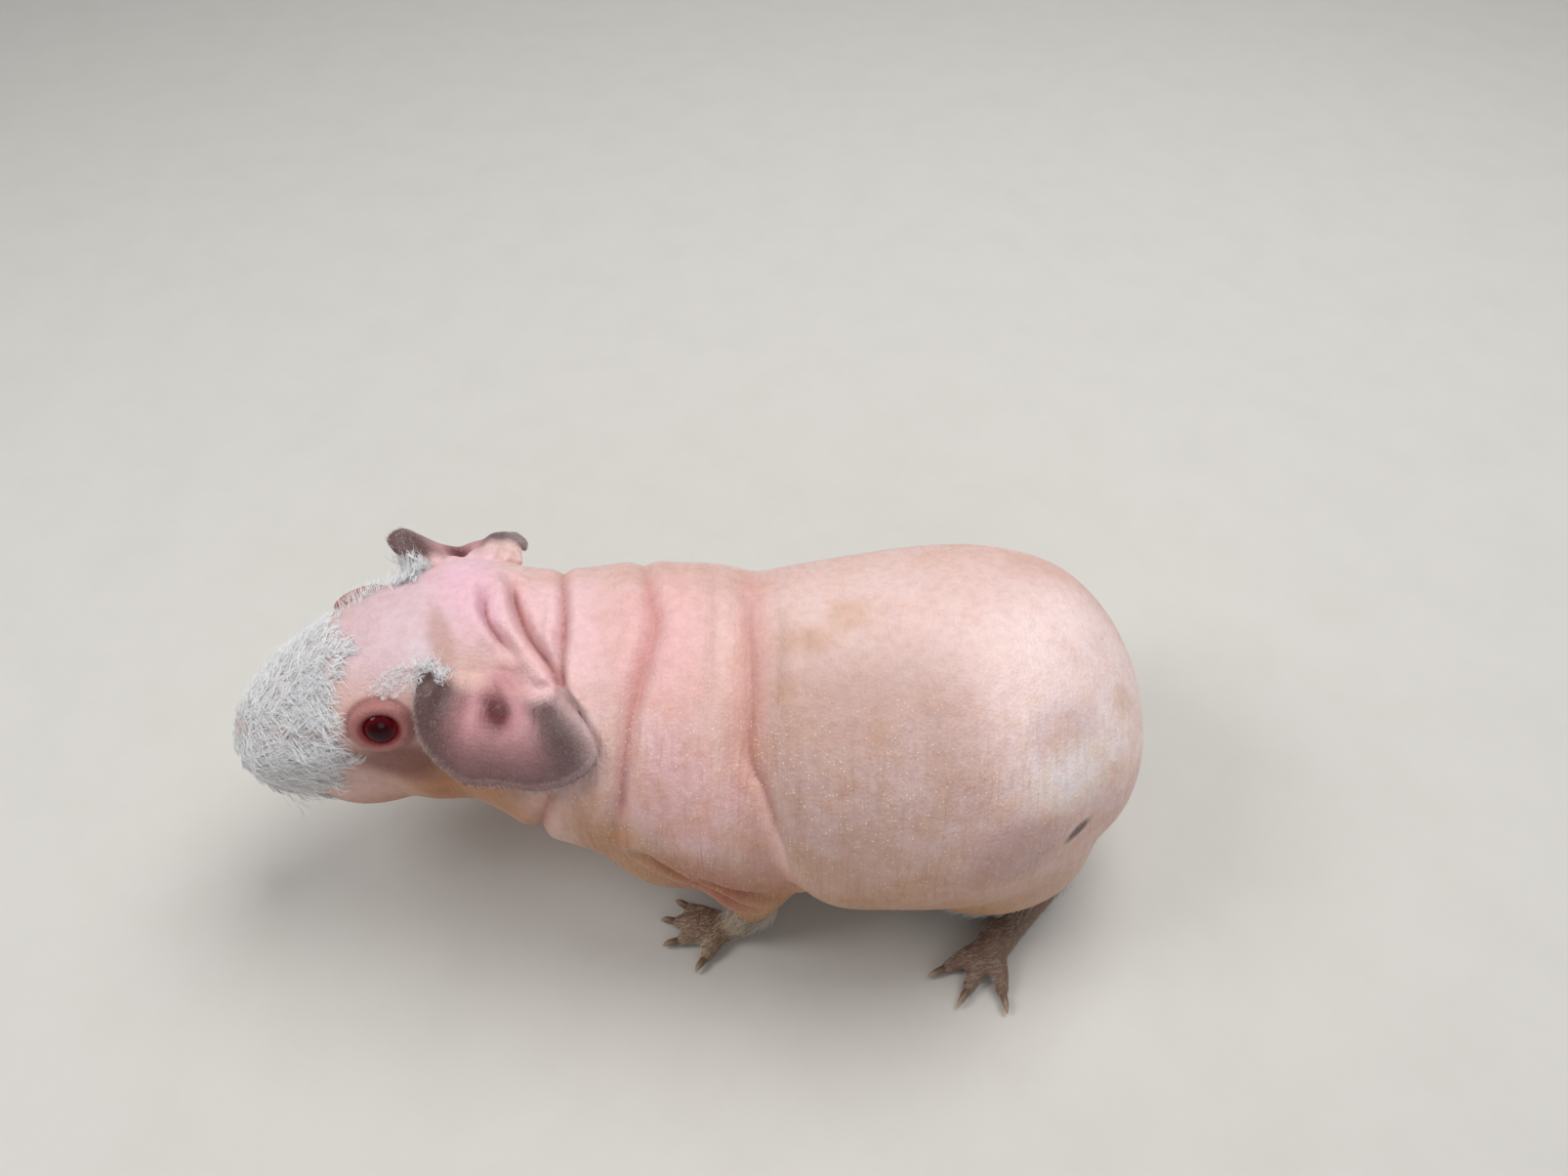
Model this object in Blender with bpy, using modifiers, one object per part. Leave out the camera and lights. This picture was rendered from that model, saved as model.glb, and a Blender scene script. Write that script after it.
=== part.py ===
"""A skinny pig, the hairless guinea pig, life size, standing with its head turned a little to its left.

Metres, +Z up. The floor is Z = 0, the animal faces -X and its left side faces -Y.
The body is made whole, from lofts, scaled spheres and tapered tubes that one remesh fuses. Its skin folds are
pressed in, and it is then parted into head, neck, torso and legs with thin cuts. Ears, eyes and claws are their own.
"""

import math

import bmesh
import bpy
import numpy as np
from mathutils import Matrix, Vector

GAP = 0.0003  # between parts that touch
TINY = 0.00001  # points closer than this are one point
FINE = 0.0011  # grid of the fused body
SOFTENING = (0.5, 26, 0.03)  # share, turns and least share of the smoothing that melts the masses together
SOFT_HEIGHTS = (0.006, 0.016)  # between which the smoothing grows from its least, so that the feet keep their shape
LID_SOFTENING = (0.3, 1)
SIDES = {"left": 1, "right": -1}

# Trunk and neck, from the rump forward: place along X, side and height of the centre, half width, rise above the
# centre and drop below it.
TRUNK_SECTIONS = (
    (0.1180, 0.0066, 0.0434, 0.0030, 0.0030, 0.0030),
    (0.1155, 0.0068, 0.0440, 0.0172, 0.0160, 0.0145),
    (0.1080, 0.0070, 0.0470, 0.0300, 0.0275, 0.0262),
    (0.0960, 0.0070, 0.0496, 0.0395, 0.0360, 0.0340),
    (0.0800, 0.0040, 0.0502, 0.0472, 0.0408, 0.0392),
    (0.0620, 0.0022, 0.0505, 0.0490, 0.0415, 0.0400),
    (0.0420, 0.0014, 0.0500, 0.0470, 0.0400, 0.0385),
    (0.0240, 0.0014, 0.0500, 0.0435, 0.0370, 0.0365),
    (0.0060, 0.0026, 0.0515, 0.0425, 0.0360, 0.0360),
    (-0.0120, 0.0046, 0.0525, 0.0403, 0.0350, 0.0345),
    (-0.0280, 0.0060, 0.0530, 0.0369, 0.0330, 0.0320),
    (-0.0420, 0.0064, 0.0545, 0.0317, 0.0290, 0.0270),
    (-0.0540, 0.0086, 0.0560, 0.0280, 0.0250, 0.0250),
    (-0.0640, 0.0112, 0.0560, 0.0215, 0.0190, 0.0200),
    (-0.0700, 0.0112, 0.0560, 0.0040, 0.0040, 0.0040),
)

# Head, from the nape forward, in the head's own frame (X forward, Y to its left, Z up): the same columns.
HEAD_SECTIONS = (
    (-0.0160, 0.0, 0.0, 0.0040, 0.0040, 0.0040),
    (-0.0140, 0.0, 0.0, 0.0150, 0.0120, 0.0200),
    (-0.0060, 0.0010, 0.0, 0.0215, 0.0165, 0.0290),
    (0.0080, 0.0, 0.0, 0.0262, 0.0222, 0.0330),
    (0.0210, 0.0, 0.0, 0.0265, 0.0225, 0.0360),
    (0.0340, 0.0, 0.0, 0.0235, 0.0205, 0.0355),
    (0.0455, 0.0, 0.0, 0.0195, 0.0165, 0.0325),
    (0.0550, 0.0, -0.0015, 0.0175, 0.0125, 0.0275),
    (0.0630, 0.0, -0.0035, 0.0152, 0.0092, 0.0235),
    (0.0690, 0.0, -0.0060, 0.0120, 0.0072, 0.0175),
    (0.0720, 0.0, -0.0070, 0.0076, 0.0050, 0.0115),
    (0.0730, 0.0, -0.0075, 0.0018, 0.0014, 0.0018),
)
HEAD_JOINT = Vector((-0.0420, 0.0160, 0.0660))
HEAD_YAW = math.radians(20.0)  # to its left
HEAD_PITCH = math.radians(1.0)  # nose down

# Rounded masses. Of the head: forward, outward, up, and their radii the same way. Of the body: along X, outward,
# up, and the radii. Each stands on both sides.
HEAD_MASSES = {
    "cheek": ((0.0210, 0.0130, -0.0130), (0.0220, 0.0160, 0.0165)),
    "jowl": ((0.0400, 0.0085, -0.0168), (0.0200, 0.0130, 0.0135)),
    "brow": ((0.0350, 0.0120, 0.0065), (0.0120, 0.0095, 0.0090)),
    "lip_pad": ((0.0600, 0.0066, -0.0110), (0.0100, 0.0088, 0.0095)),
    "chin": ((0.0540, 0.0010, -0.0200), (0.0095, 0.0070, 0.0065)),
}
BODY_MASSES = {
    "shoulder": ((-0.0010, 0.0230, 0.0430), (0.0230, 0.0170, 0.0260)),
    "elbow": ((0.0170, 0.0305, 0.0310), (0.0160, 0.0120, 0.0125)),
    "thigh": ((0.0765, 0.0250, 0.0354), (0.0270, 0.0185, 0.0272)),
}
BODY_MIDDLE = 0.0030  # along Y, between the left legs and the right ones

# Each leg: its own points as along X, outward and up, with a radius, from the trunk down. Then its toes from the
# middle of the paw, each as the turn of its line from straight ahead, outward positive, and its length.
FRONT_BONES = (
    (0.0080, 0.0270, 0.0400, 0.0120),
    (0.0185, 0.0315, 0.0285, 0.0090),
    (0.0165, 0.0335, 0.0165, 0.0060),
    (0.0135, 0.0345, 0.0075, 0.0047),
    (0.0090, 0.0350, 0.0028, 0.0040),
)
HIND_BONES = (
    (0.0830, 0.0260, 0.0340, 0.0150),
    (0.0940, 0.0230, 0.0170, 0.0085),
    (0.0960, 0.0230, 0.0065, 0.0056),
    (0.0880, 0.0320, 0.0046, 0.0050),
    (0.0805, 0.0405, 0.0036, 0.0048),
)
FRONT_TOES = ((-30.0, 0.0105), (-8.0, 0.0120), (16.0, 0.0115), (58.0, 0.0085))
HIND_TOES = ((24.0, 0.0115), (56.0, 0.0112), (96.0, 0.0100))
TOE_ROOT_RADIUS = 0.00276
TOE_RADIUS = 0.0023
TOE_TIP_RADIUS = 0.0017
TOE_SINK = 0.0002  # of its tip below the floor, where it is cut flat
KNUCKLE_SHARE = 0.55  # of the toe's length
KNUCKLE_RISE = 0.0006

EYE_PLACE = (0.0360, 0.0178, 0.0070)
EYE_RADIUS = 0.0056
EYE_LOOK = (0.16, 0.90, 0.38)  # forward, outward, up
LID_RADII = (0.0056, 0.0049)  # of the lids' middle line, along the head and across it
LID_THICKNESS = 0.0032
LID_LIFT = 0.0034  # of the lids' plane from the eye's middle

# The ear's sheet: its root and its edge from the front corner to the rear one, as forward, outward and up.
EAR_ROOT = {
    "left": (
        (0.0215, 0.0150, 0.0155),
        (0.0150, 0.0190, 0.0160),
        (0.0050, 0.0225, 0.0140),
        (-0.0040, 0.0250, 0.0100),
    ),
    "right": (
        (0.0215, 0.0150, 0.0155),
        (0.0150, 0.0185, 0.0155),
        (0.0050, 0.0205, 0.0120),
        (-0.0050, 0.0210, 0.0065),
    ),
}
EAR_EDGE = {
    "left": (
        (0.0240, 0.0190, 0.0180),
        (0.0274, 0.0254, 0.0155),
        (0.0272, 0.0320, 0.0095),
        (0.0215, 0.0385, 0.0020),
        (0.0130, 0.0430, 0.0020),
        (0.0060, 0.0472, 0.0025),
        (-0.0020, 0.0500, 0.0055),
        (-0.0088, 0.0490, 0.0100),
        (-0.0090, 0.0430, 0.0135),
        (-0.0060, 0.0350, 0.0140),
    ),
    "right": (
        (0.0228, 0.0205, 0.0185),
        (0.0257, 0.0262, 0.0198),
        (0.0220, 0.0322, 0.0165),
        (0.0175, 0.0365, 0.0060),
        (0.0125, 0.0400, -0.0050),
        (0.0060, 0.0435, -0.0100),
        (0.0000, 0.0455, -0.0100),
        (-0.0050, 0.0440, -0.0062),
        (-0.0078, 0.0380, -0.0050),
        (-0.0072, 0.0300, 0.0000),
    ),
}
EAR_ARCH = 0.0042  # rise of the sheet between its root and its edge
EAR_CURL = 0.0016  # rise of its edge
EAR_UP = (0.15, 0.45, 0.88)  # the way it rises
EAR_CURL_START = 0.75  # of the way from the root to the edge
CANAL_PIT = (0.50, 0.30, 0.09, 0.13, 0.0050)  # places across the ear and out along it, its widths there, and depth
EAR_THICKNESS = 0.0016

# Skin folds round the trunk: how deep, half how wide, and stops as the turn from the top, left side positive, in
# degrees, and the place along X.
FOLDS = {
    "nape": (0.0022, 0.0016, ((-15, -0.0482), (-1, -0.0466), (6, -0.0440), (12, -0.0407), (16, -0.0391))),
    "second_nape": (
        0.0030,
        0.0017,
        ((-26, -0.0427), (-10, -0.0399), (7, -0.0357), (20, -0.0303), (31, -0.0272), (46, -0.0246)),
    ),
    "collar": (
        0.0024,
        0.0016,
        ((-75, -0.0340), (-48, -0.0326), (-9, -0.0285), (11, -0.0273), (34, -0.0264), (44, -0.0249)),
    ),
    "throat": (0.0016, 0.0020, ((66, -0.0285), (76, -0.0301), (90, -0.0332), (105, -0.0355), (150, -0.0390))),
    "far_throat": (0.0022, 0.0020, ((-150, -0.0370), (-105, -0.0350), (-80, -0.0310))),
    "withers": (
        0.0025,
        0.0024,
        ((-85, -0.0135), (-47, -0.0116), (-15, -0.0073), (4, -0.0061), (41, -0.0103), (57, -0.0118), (80, -0.0130)),
    ),
    "faint": (0.0007, 0.0022, ((-40, 0.0065), (3, 0.0085), (34, 0.0086))),
    "waist": (
        0.0028,
        0.0062,
        ((-115, 0.0250), (-48, 0.0159), (-9, 0.0168), (31, 0.0163), (51, 0.0164), (86, 0.0207), (118, 0.0290)),
    ),
    "armpit": (0.0018, 0.0014, ((92, -0.0090), (101, -0.0012), (112, 0.0080), (119, 0.0190))),
    "second_armpit": (0.0014, 0.0013, ((101, 0.0050), (107, 0.0130), (112, 0.0200))),
    "far_armpit": (0.0018, 0.0014, ((-119, 0.0190), (-106, 0.0050), (-94, -0.0080))),
}
FOLD_RADIUS = 0.040  # at which a turn is measured as a length
FOLD_ROLL = 0.35  # height of the roll beside a fold, of its depth
FOLD_CALM = (-62.0, -4.0)  # turns between which folds grow, because the head's turn stretches the right side
FOLD_FAR_SHARE = 0.3  # of their depth, on the right side
FOLD_HEIGHTS = (0.010, 0.016)  # between which folds grow from nothing
FOLD_FADE = 0.006  # length of a fold's end
FOLD_END_SHARE = 0.25  # of its depth, at its very end
FACE_ROLL = 0.15  # height of the roll beside a line of the face, of its depth

# Lines pressed into the face, as points in the head's own frame, for the left side and its mirror image.
FACE_LINES = {
    "lip_cleft": (0.0018, 0.0011, ((0.0730, 0.0, -0.0095), (0.0715, 0.0, -0.0175))),
    "mouth": (0.0024, 0.0012, ((0.0715, 0.0, -0.0175), (0.0680, 0.0070, -0.0195), (0.0600, 0.0140, -0.0200))),
    "nostril": (0.0028, 0.0012, ((0.0732, 0.0024, -0.0075), (0.0722, 0.0050, -0.0050))),
    "eye_corner": (0.0010, 0.0009, ((0.0425, 0.0195, 0.0065), (0.0450, 0.0185, 0.0050))),
}

# Where the parts are divided. Head and neck end on planes across X: a point and a turn to the left.
HEAD_CUT = (Vector((-0.0365, 0.0160, 0.0600)), math.radians(18.0))
NECK_CUT = (Vector((-0.0165, 0.0050, 0.0520)), math.radians(6.0))
LEG_REGIONS = {  # middle and radii, as along X, outward and up
    "leg_front": ((0.0080, 0.0370, 0.0120), (0.0330, 0.0225, 0.0230)),
    "leg_hind": ((0.0840, 0.0370, 0.0150), (0.0370, 0.0290, 0.0350)),
}

CLAW_LENGTH = {"front": 0.0036, "hind": 0.0058}
CLAW_RADIUS = 0.00105
CLAW_STOPS = (  # share of its length, share of its radius and rise, past the toe's tip
    (0.35, 0.85, 0.0004),
    (0.75, 0.55, 0.0),
    (1.0, 0.25, -0.0006),
)
CLAW_ROOT = 0.0002  # of its middle line, from the middle of the toe's tip

FAR = 0.3  # more than the animal's reach in any direction

TRIANGLES = {"trunk": 2700, "face": 3100, "feet": 1500}  # of the simplified body
FOOT_HEIGHT = 0.016  # below which it counts as feet
SMALLEST_FACTOR = 0.0001  # with which only the points of the group are thinned out

PINK = (0.80, 0.55, 0.47, 1.0)
TAUPE = (0.36, 0.25, 0.22, 1.0)
CLAW_BROWN = (0.22, 0.12, 0.09, 1.0)
EYE_RED = (0.16, 0.01, 0.02, 1.0)


def clear_scene():
    for item in list(bpy.data.objects):
        bpy.data.objects.remove(item)


def new_collection(name):
    collection = bpy.data.collections.new(name)
    bpy.context.scene.collection.children.link(collection)
    return collection


def new_object(name, mesh, collection):
    item = bpy.data.objects.new(name, mesh)
    collection.objects.link(item)
    return item


def mesh_from(name, shell):
    """A mesh of the bmesh, which it frees, with its faces pointing out."""
    bmesh.ops.recalc_face_normals(shell, faces=shell.faces)
    if shell.calc_volume(signed=True) < 0:
        bmesh.ops.reverse_faces(shell, faces=shell.faces)
    mesh = bpy.data.meshes.new(name)
    shell.to_mesh(mesh)
    shell.free()
    return mesh


def smooth_rows(rows, count):
    """The rows' values along a Catmull-Rom curve through them, at count places evenly spaced in the rows' own steps."""
    rows = np.asarray(rows, float)
    ends = np.vstack([2 * rows[0] - rows[1], rows, 2 * rows[-1] - rows[-2]])
    place = np.linspace(0, len(rows) - 1, count)
    start = np.minimum(place.astype(int), len(rows) - 2)
    t = (place - start)[:, None]
    a, b, c, d = (ends[start + step] for step in range(4))
    return 0.5 * (2 * b + (c - a) * t + (2 * a - 5 * b + 4 * c - d) * t**2 + (3 * b - a - 3 * c + d) * t**3)


def head_frame():
    """From the head's own frame to the world's."""
    ahead = Vector(
        (
            -math.cos(HEAD_YAW) * math.cos(HEAD_PITCH),
            -math.sin(HEAD_YAW) * math.cos(HEAD_PITCH),
            -math.sin(HEAD_PITCH),
        )
    )
    left = Vector((math.sin(HEAD_YAW), -math.cos(HEAD_YAW), 0.0))
    turn = Matrix((ahead, left, ahead.cross(left))).transposed()
    return Matrix.Translation(HEAD_JOINT) @ turn.to_4x4()


def side_frame(side):
    """From along X, outward and up to the world, on the body's side."""
    return Matrix.Translation((0.0, BODY_MIDDLE, 0.0)) @ Matrix.Diagonal((1.0, -SIDES[side], 1.0, 1.0))


def head_side_frame(side):
    """From forward, outward and up to the world, on the head's side."""
    return head_frame() @ Matrix.Diagonal((1.0, SIDES[side], 1.0, 1.0))


def loft(name, sections, rings, sides, frame):
    """A closed skin over sections of unlike size. Each is an ellipse whose upper and lower halves differ in height."""
    rows = smooth_rows(sections, rings)
    turn = np.linspace(0, 2 * math.pi, sides, endpoint=False)
    tall = np.where(np.sin(turn) > 0, rows[:, 4:5], rows[:, 5:6])
    across = rows[:, 1:2] + rows[:, 3:4] * np.cos(turn)
    height = rows[:, 2:3] + tall * np.sin(turn)
    along = np.repeat(rows[:, 0:1], sides, axis=1)
    points = np.stack([along, across, height], axis=-1)
    shell = bmesh.new()
    loops = [[shell.verts.new(point) for point in ring] for ring in points]
    for near, far in zip(loops, loops[1:]):
        for side in range(sides):
            after = (side + 1) % sides
            shell.faces.new((near[side], near[after], far[after], far[side]))
    shell.faces.new(loops[0])
    shell.faces.new(loops[-1])
    shell.transform(frame)
    return mesh_from(name, shell)


def ball(name, place, radii, frame, around=32):
    shell = bmesh.new()
    bmesh.ops.create_uvsphere(shell, u_segments=around, v_segments=around // 2, radius=1.0)
    shell.transform(frame @ Matrix.Translation(place) @ Matrix.Diagonal((*radii, 1.0)))
    return mesh_from(name, shell)


def tube(name, stops, frame, steps=6, roundness=4):
    """A tapered tube through the stops, each a point and a radius."""
    curve = bpy.data.curves.new(name, "CURVE")
    curve.dimensions = "3D"
    curve.bevel_depth = 1.0
    curve.bevel_resolution = roundness
    curve.use_fill_caps = True
    spline = curve.splines.new("POLY")
    rows = smooth_rows(stops, steps * (len(stops) - 1) + 1)
    spline.points.add(len(rows) - 1)
    for point, row in zip(spline.points, rows):
        point.co = (*row[:3], 1.0)
        point.radius = row[3]
    guide = bpy.data.objects.new(name, curve)
    bpy.context.scene.collection.objects.link(guide)
    bpy.context.view_layer.update()
    mesh = bpy.data.meshes.new_from_object(guide.evaluated_get(bpy.context.evaluated_depsgraph_get()))
    bpy.data.objects.remove(guide)
    shell = bmesh.new()
    shell.from_mesh(mesh)
    bmesh.ops.remove_doubles(shell, verts=shell.verts, dist=TINY)
    shell.transform(frame)
    return mesh_from(name, shell)


def limb(name, stops, frame):
    """A tube with a ball on each end."""
    ends = [ball(name, stop[:3], (stop[3],) * 3, frame, 16) for stop in (stops[0], stops[-1])]
    return [tube(name, stops, frame), *ends]


def fuse(name, meshes, grid, collection):
    """One closed skin round all the meshes."""
    shell = bmesh.new()
    for mesh in meshes:
        shell.from_mesh(mesh)
    item = new_object(name, mesh_from(name, shell), collection)
    remesh = item.modifiers.new("one skin", "REMESH")
    remesh.mode = "VOXEL"
    remesh.voxel_size = grid
    apply_modifiers(item)
    return item


def apply_modifiers(item):
    bpy.context.view_layer.update()
    solid = bpy.data.meshes.new_from_object(item.evaluated_get(bpy.context.evaluated_depsgraph_get()))
    item.modifiers.clear()
    item.data = solid


def toes(bones, toe_rows, frame, name):
    """Each toe's own tube, from the middle of the paw."""
    x, y, z, _ = bones[-1]
    found = []
    for index, (turn, length) in enumerate(toe_rows):
        away = Vector((-math.cos(math.radians(turn)), math.sin(math.radians(turn)), 0.0))
        root = Vector((x, y, z))
        knuckle = root + away * length * KNUCKLE_SHARE + Vector((0.0, 0.0, KNUCKLE_RISE))
        tip = root + away * length + Vector((0.0, 0.0, TOE_TIP_RADIUS - TOE_SINK - z))
        stops = ((*root, TOE_ROOT_RADIUS), (*knuckle, TOE_RADIUS), (*tip, TOE_TIP_RADIUS))
        found += limb(f"{name}_toe_{index}", stops, frame)
    return found


def body_meshes():
    found = [loft("trunk", TRUNK_SECTIONS, 90, 64, Matrix()), loft("skull", HEAD_SECTIONS, 80, 56, head_frame())]
    for side in SIDES:
        for name, (place, radii) in HEAD_MASSES.items():
            found.append(ball(name, place, radii, head_side_frame(side)))
        for name, (place, radii) in BODY_MASSES.items():
            found.append(ball(name, place, radii, side_frame(side)))
        found += limb("front_leg", FRONT_BONES, side_frame(side))
        found += limb("hind_leg", HIND_BONES, side_frame(side))
        found += toes(FRONT_BONES, FRONT_TOES, side_frame(side), "front")
        found += toes(HIND_BONES, HIND_TOES, side_frame(side), "hind")
    return found


def arrays(mesh):
    """The mesh's points, outward normals and edges."""
    points = np.empty(len(mesh.vertices) * 3)
    mesh.vertices.foreach_get("co", points)
    normals = np.empty(len(mesh.vertices) * 3)
    mesh.vertices.foreach_get("normal", normals)
    edges = np.empty(len(mesh.edges) * 2, int)
    mesh.edges.foreach_get("vertices", edges)
    return points.reshape(-1, 3), normals.reshape(-1, 3), edges.reshape(-1, 2)


def set_points(mesh, points):
    mesh.vertices.foreach_set("co", points.ravel())
    mesh.update()


def relax(mesh, share, turns):
    """Draws each point towards the mean of its neighbours by its share, over and over."""
    points, _, edges = arrays(mesh)
    count = len(points)
    ends = np.concatenate([edges, edges[:, ::-1]])
    neighbours = np.bincount(ends[:, 0], minlength=count)
    for _ in range(turns):
        sums = np.stack([np.bincount(ends[:, 0], points[ends[:, 1], axis], count) for axis in range(3)], axis=1)
        points += share[:, None] * (sums / neighbours[:, None] - points)
    set_points(mesh, points)


def line_distance(points, line):
    """Each point's distance to the line through the stops."""
    nearest = np.full(len(points), np.inf)
    for start, end in zip(line, line[1:]):
        way = end - start
        along = np.clip((points - start) @ way / (way @ way), 0, 1)
        nearest = np.minimum(nearest, np.linalg.norm(points - start - along[:, None] * way, axis=1))
    return nearest


def fold_depth(distance, depth, width, roll):
    """A groove, with a low roll on both sides of it."""
    groove = np.exp(-((distance / width) ** 2))
    return depth * (groove - roll * np.exp(-(((distance - 2.2 * width) / (1.5 * width)) ** 2)))


def press_folds(mesh):
    points, normals, _ = arrays(mesh)
    rows = np.array(TRUNK_SECTIONS)[::-1]
    side = points[:, 1] - np.interp(points[:, 0], rows[:, 0], rows[:, 1])
    up = points[:, 2] - np.interp(points[:, 0], rows[:, 0], rows[:, 2])
    turn = np.arctan2(-side, up)
    unrolled = np.stack([points[:, 0], FOLD_RADIUS * turn], axis=1)
    depth = np.zeros(len(points))
    for deep, width, stops in FOLDS.values():
        line = np.array([(x, FOLD_RADIUS * math.radians(turn)) for turn, x in stops])
        line = smooth_rows(line, 6 * len(line))
        ends = np.minimum(*(np.linalg.norm(unrolled - line[end], axis=1) for end in (0, -1)))
        fade = np.interp(ends, (0, FOLD_FADE), (FOLD_END_SHARE, 1))
        depth += fold_depth(line_distance(unrolled, line), deep, width, FOLD_ROLL) * fade
    depth *= np.interp(turn, np.radians(FOLD_CALM), (FOLD_FAR_SHARE, 1.0))
    depth *= np.interp(points[:, 2], FOLD_HEIGHTS, (0, 1))
    set_points(mesh, points - normals * depth[:, None])


def press_face(mesh):
    points, normals, _ = arrays(mesh)
    inverse = np.array(head_frame().inverted())
    local = points @ inverse[:3, :3].T + inverse[:3, 3]
    depth = np.zeros(len(points))
    for deep, width, stops in FACE_LINES.values():
        for mirror in SIDES.values():
            line = smooth_rows(np.array(stops) * (1, mirror, 1), 6 * len(stops))
            pressed = fold_depth(line_distance(local, line), deep, width, FACE_ROLL)
            depth = np.where(np.abs(pressed) > np.abs(depth), pressed, depth)
    set_points(mesh, points - normals * depth[:, None])


def lids(side):
    """The ring of the eyelids, round the eye's line of sight."""
    look = Vector(EYE_LOOK).normalized()
    across = Vector((0.0, 0.0, 1.0)).cross(look).normalized()
    turn = Matrix((across, look.cross(across), look)).transposed().to_4x4()
    place = Matrix.Translation(Vector(EYE_PLACE) + look * LID_LIFT)
    turns = np.linspace(0, 2 * math.pi, 33)
    stops = [(LID_RADII[0] * math.cos(t), LID_RADII[1] * math.sin(t), 0.0, LID_THICKNESS / 2) for t in turns]
    return tube("lids", stops, head_side_frame(side) @ place @ turn)


def boolean(item, operation, other, solver="MANIFOLD"):
    cut = item.modifiers.new("cut", "BOOLEAN")
    cut.operation = operation
    cut.object = other
    cut.solver = solver
    apply_modifiers(item)
    keep_largest(item.data)


def keep_largest(mesh):
    """Drops every closed surface but the one that holds the most."""
    shell = bmesh.new()
    shell.from_mesh(mesh)
    left = set(shell.verts)
    best, most = set(), 0.0
    while left:
        found = {left.pop()}
        border = list(found)
        while border:
            vert = border.pop()
            near = {edge.other_vert(vert) for edge in vert.link_edges} - found
            found |= near
            border += near
        left -= found
        faces = {face for vert in found for face in vert.link_faces}
        volume = sum(face.verts[0].co.dot(face.normal) * face.calc_area() for face in faces)
        if volume > most:
            best, most = found, volume
    bmesh.ops.delete(shell, geom=[vert for vert in shell.verts if vert not in best], context="VERTS")
    shell.to_mesh(mesh)
    shell.free()


def helper(name, mesh, collection):
    item = new_object(name, mesh, collection)
    item.hide_render = True
    item.display_type = "WIRE"
    return item


def block(name, low, high, frame, collection):
    shell = bmesh.new()
    bmesh.ops.create_cube(shell, size=1.0)
    low, high = Vector(low), Vector(high)
    size = Matrix.Diagonal((*(high - low), 1.0))
    shell.transform(frame @ Matrix.Translation((low + high) / 2) @ size)
    return helper(name, mesh_from(name, shell), collection)


def fused_body(tools):
    body = fuse("body", body_meshes(), FINE, tools)
    points, _, _ = arrays(body.data)
    most, turns, least = SOFTENING
    relax(body.data, np.interp(points[:, 2], SOFT_HEIGHTS, (least, most)), turns)
    body = fuse("body_with_lids", [body.data] + [lids(side) for side in SIDES], FINE, tools)
    share, turns = LID_SOFTENING
    relax(body.data, np.full(len(body.data.vertices), share), turns)
    press_folds(body.data)
    press_face(body.data)
    return body


def thin_out(body, chosen, triangles):
    """Leaves this many triangles where the points are chosen, and the rest of the skin as it is."""
    for old in list(body.vertex_groups):
        body.vertex_groups.remove(old)
    group = body.vertex_groups.new(name="thinned")
    group.add(np.flatnonzero(chosen).tolist(), 1.0, "REPLACE")
    body.data.calc_loop_triangles()
    total = len(body.data.loop_triangles)
    now = total * chosen.mean()
    fewer = body.modifiers.new("fewer", "DECIMATE")
    fewer.ratio = (total - now + triangles) / total
    fewer.vertex_group = group.name
    fewer.vertex_group_factor = SMALLEST_FACTOR
    apply_modifiers(body)


def simplify(body):
    """Fewer triangles, with the head and feet kept finer than the trunk."""
    inverse = np.array(head_frame().inverted())
    for region, triangles in TRIANGLES.items():
        points, _, _ = arrays(body.data)
        ahead = points @ inverse[0, :3] + inverse[0, 3]
        feet = points[:, 2] < FOOT_HEIGHT
        face = (ahead > 0) & ~feet
        chosen = {"feet": feet, "face": face, "trunk": ~feet & ~face}[region]
        thin_out(body, chosen, triangles)


def ear_mesh(name, side, across=26, out=9):
    """The ear's open sheet: from its root to its edge, cupped in the middle, with a pit at the canal."""
    root = smooth_rows(EAR_ROOT[side], across)[None]
    edge = smooth_rows(EAR_EDGE[side], across)[None]
    u = np.linspace(0, 1, across)[None, :, None]
    v = np.linspace(0, 1, out)[:, None, None]
    rise = EAR_ARCH * np.sin(math.pi * v) + EAR_CURL * np.interp(v, (EAR_CURL_START, 1), (0, 1)) ** 2
    pit_u, pit_v, wide, tall, pit = CANAL_PIT
    rise = rise - pit * np.exp(-(((u - pit_u) / wide) ** 2) - ((v - pit_v) / tall) ** 2)
    points = root + (edge - root) * v + rise * np.array(EAR_UP)
    shell = bmesh.new()
    loops = [[shell.verts.new(point) for point in row] for row in points]
    for near, far in zip(loops, loops[1:]):
        for step in range(across - 1):
            shell.faces.new((near[step], near[step + 1], far[step + 1], far[step]))
    shell.transform(head_side_frame(side))
    return mesh_from(name, shell)


def claws(kind, side, bones, toe_rows, grown, collection):
    """A claw on each toe of one paw, from its tip, curved down, clear of the floor and of the toe."""
    x, y, z, _ = bones[-1]
    for index, (turn, length) in enumerate(toe_rows):
        away = Vector((-math.cos(math.radians(turn)), math.sin(math.radians(turn)), 0.0))
        tip = Vector((x, y, z)) + away * length + Vector((0.0, 0.0, TOE_TIP_RADIUS - z))
        stops = [(*(tip + away * CLAW_ROOT), CLAW_RADIUS)]
        for share, thick, rise in CLAW_STOPS:
            place = tip + away * (TOE_TIP_RADIUS + share * CLAW_LENGTH[kind]) + Vector((0.0, 0.0, rise))
            stops.append((*place, CLAW_RADIUS * thick))
        name = f"claw_{kind}_{side}_{index + 1}"
        claw = new_object(name, tube(name, stops, side_frame(side), 1, 1), collection)
        boolean(claw, "DIFFERENCE", grown)


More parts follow.
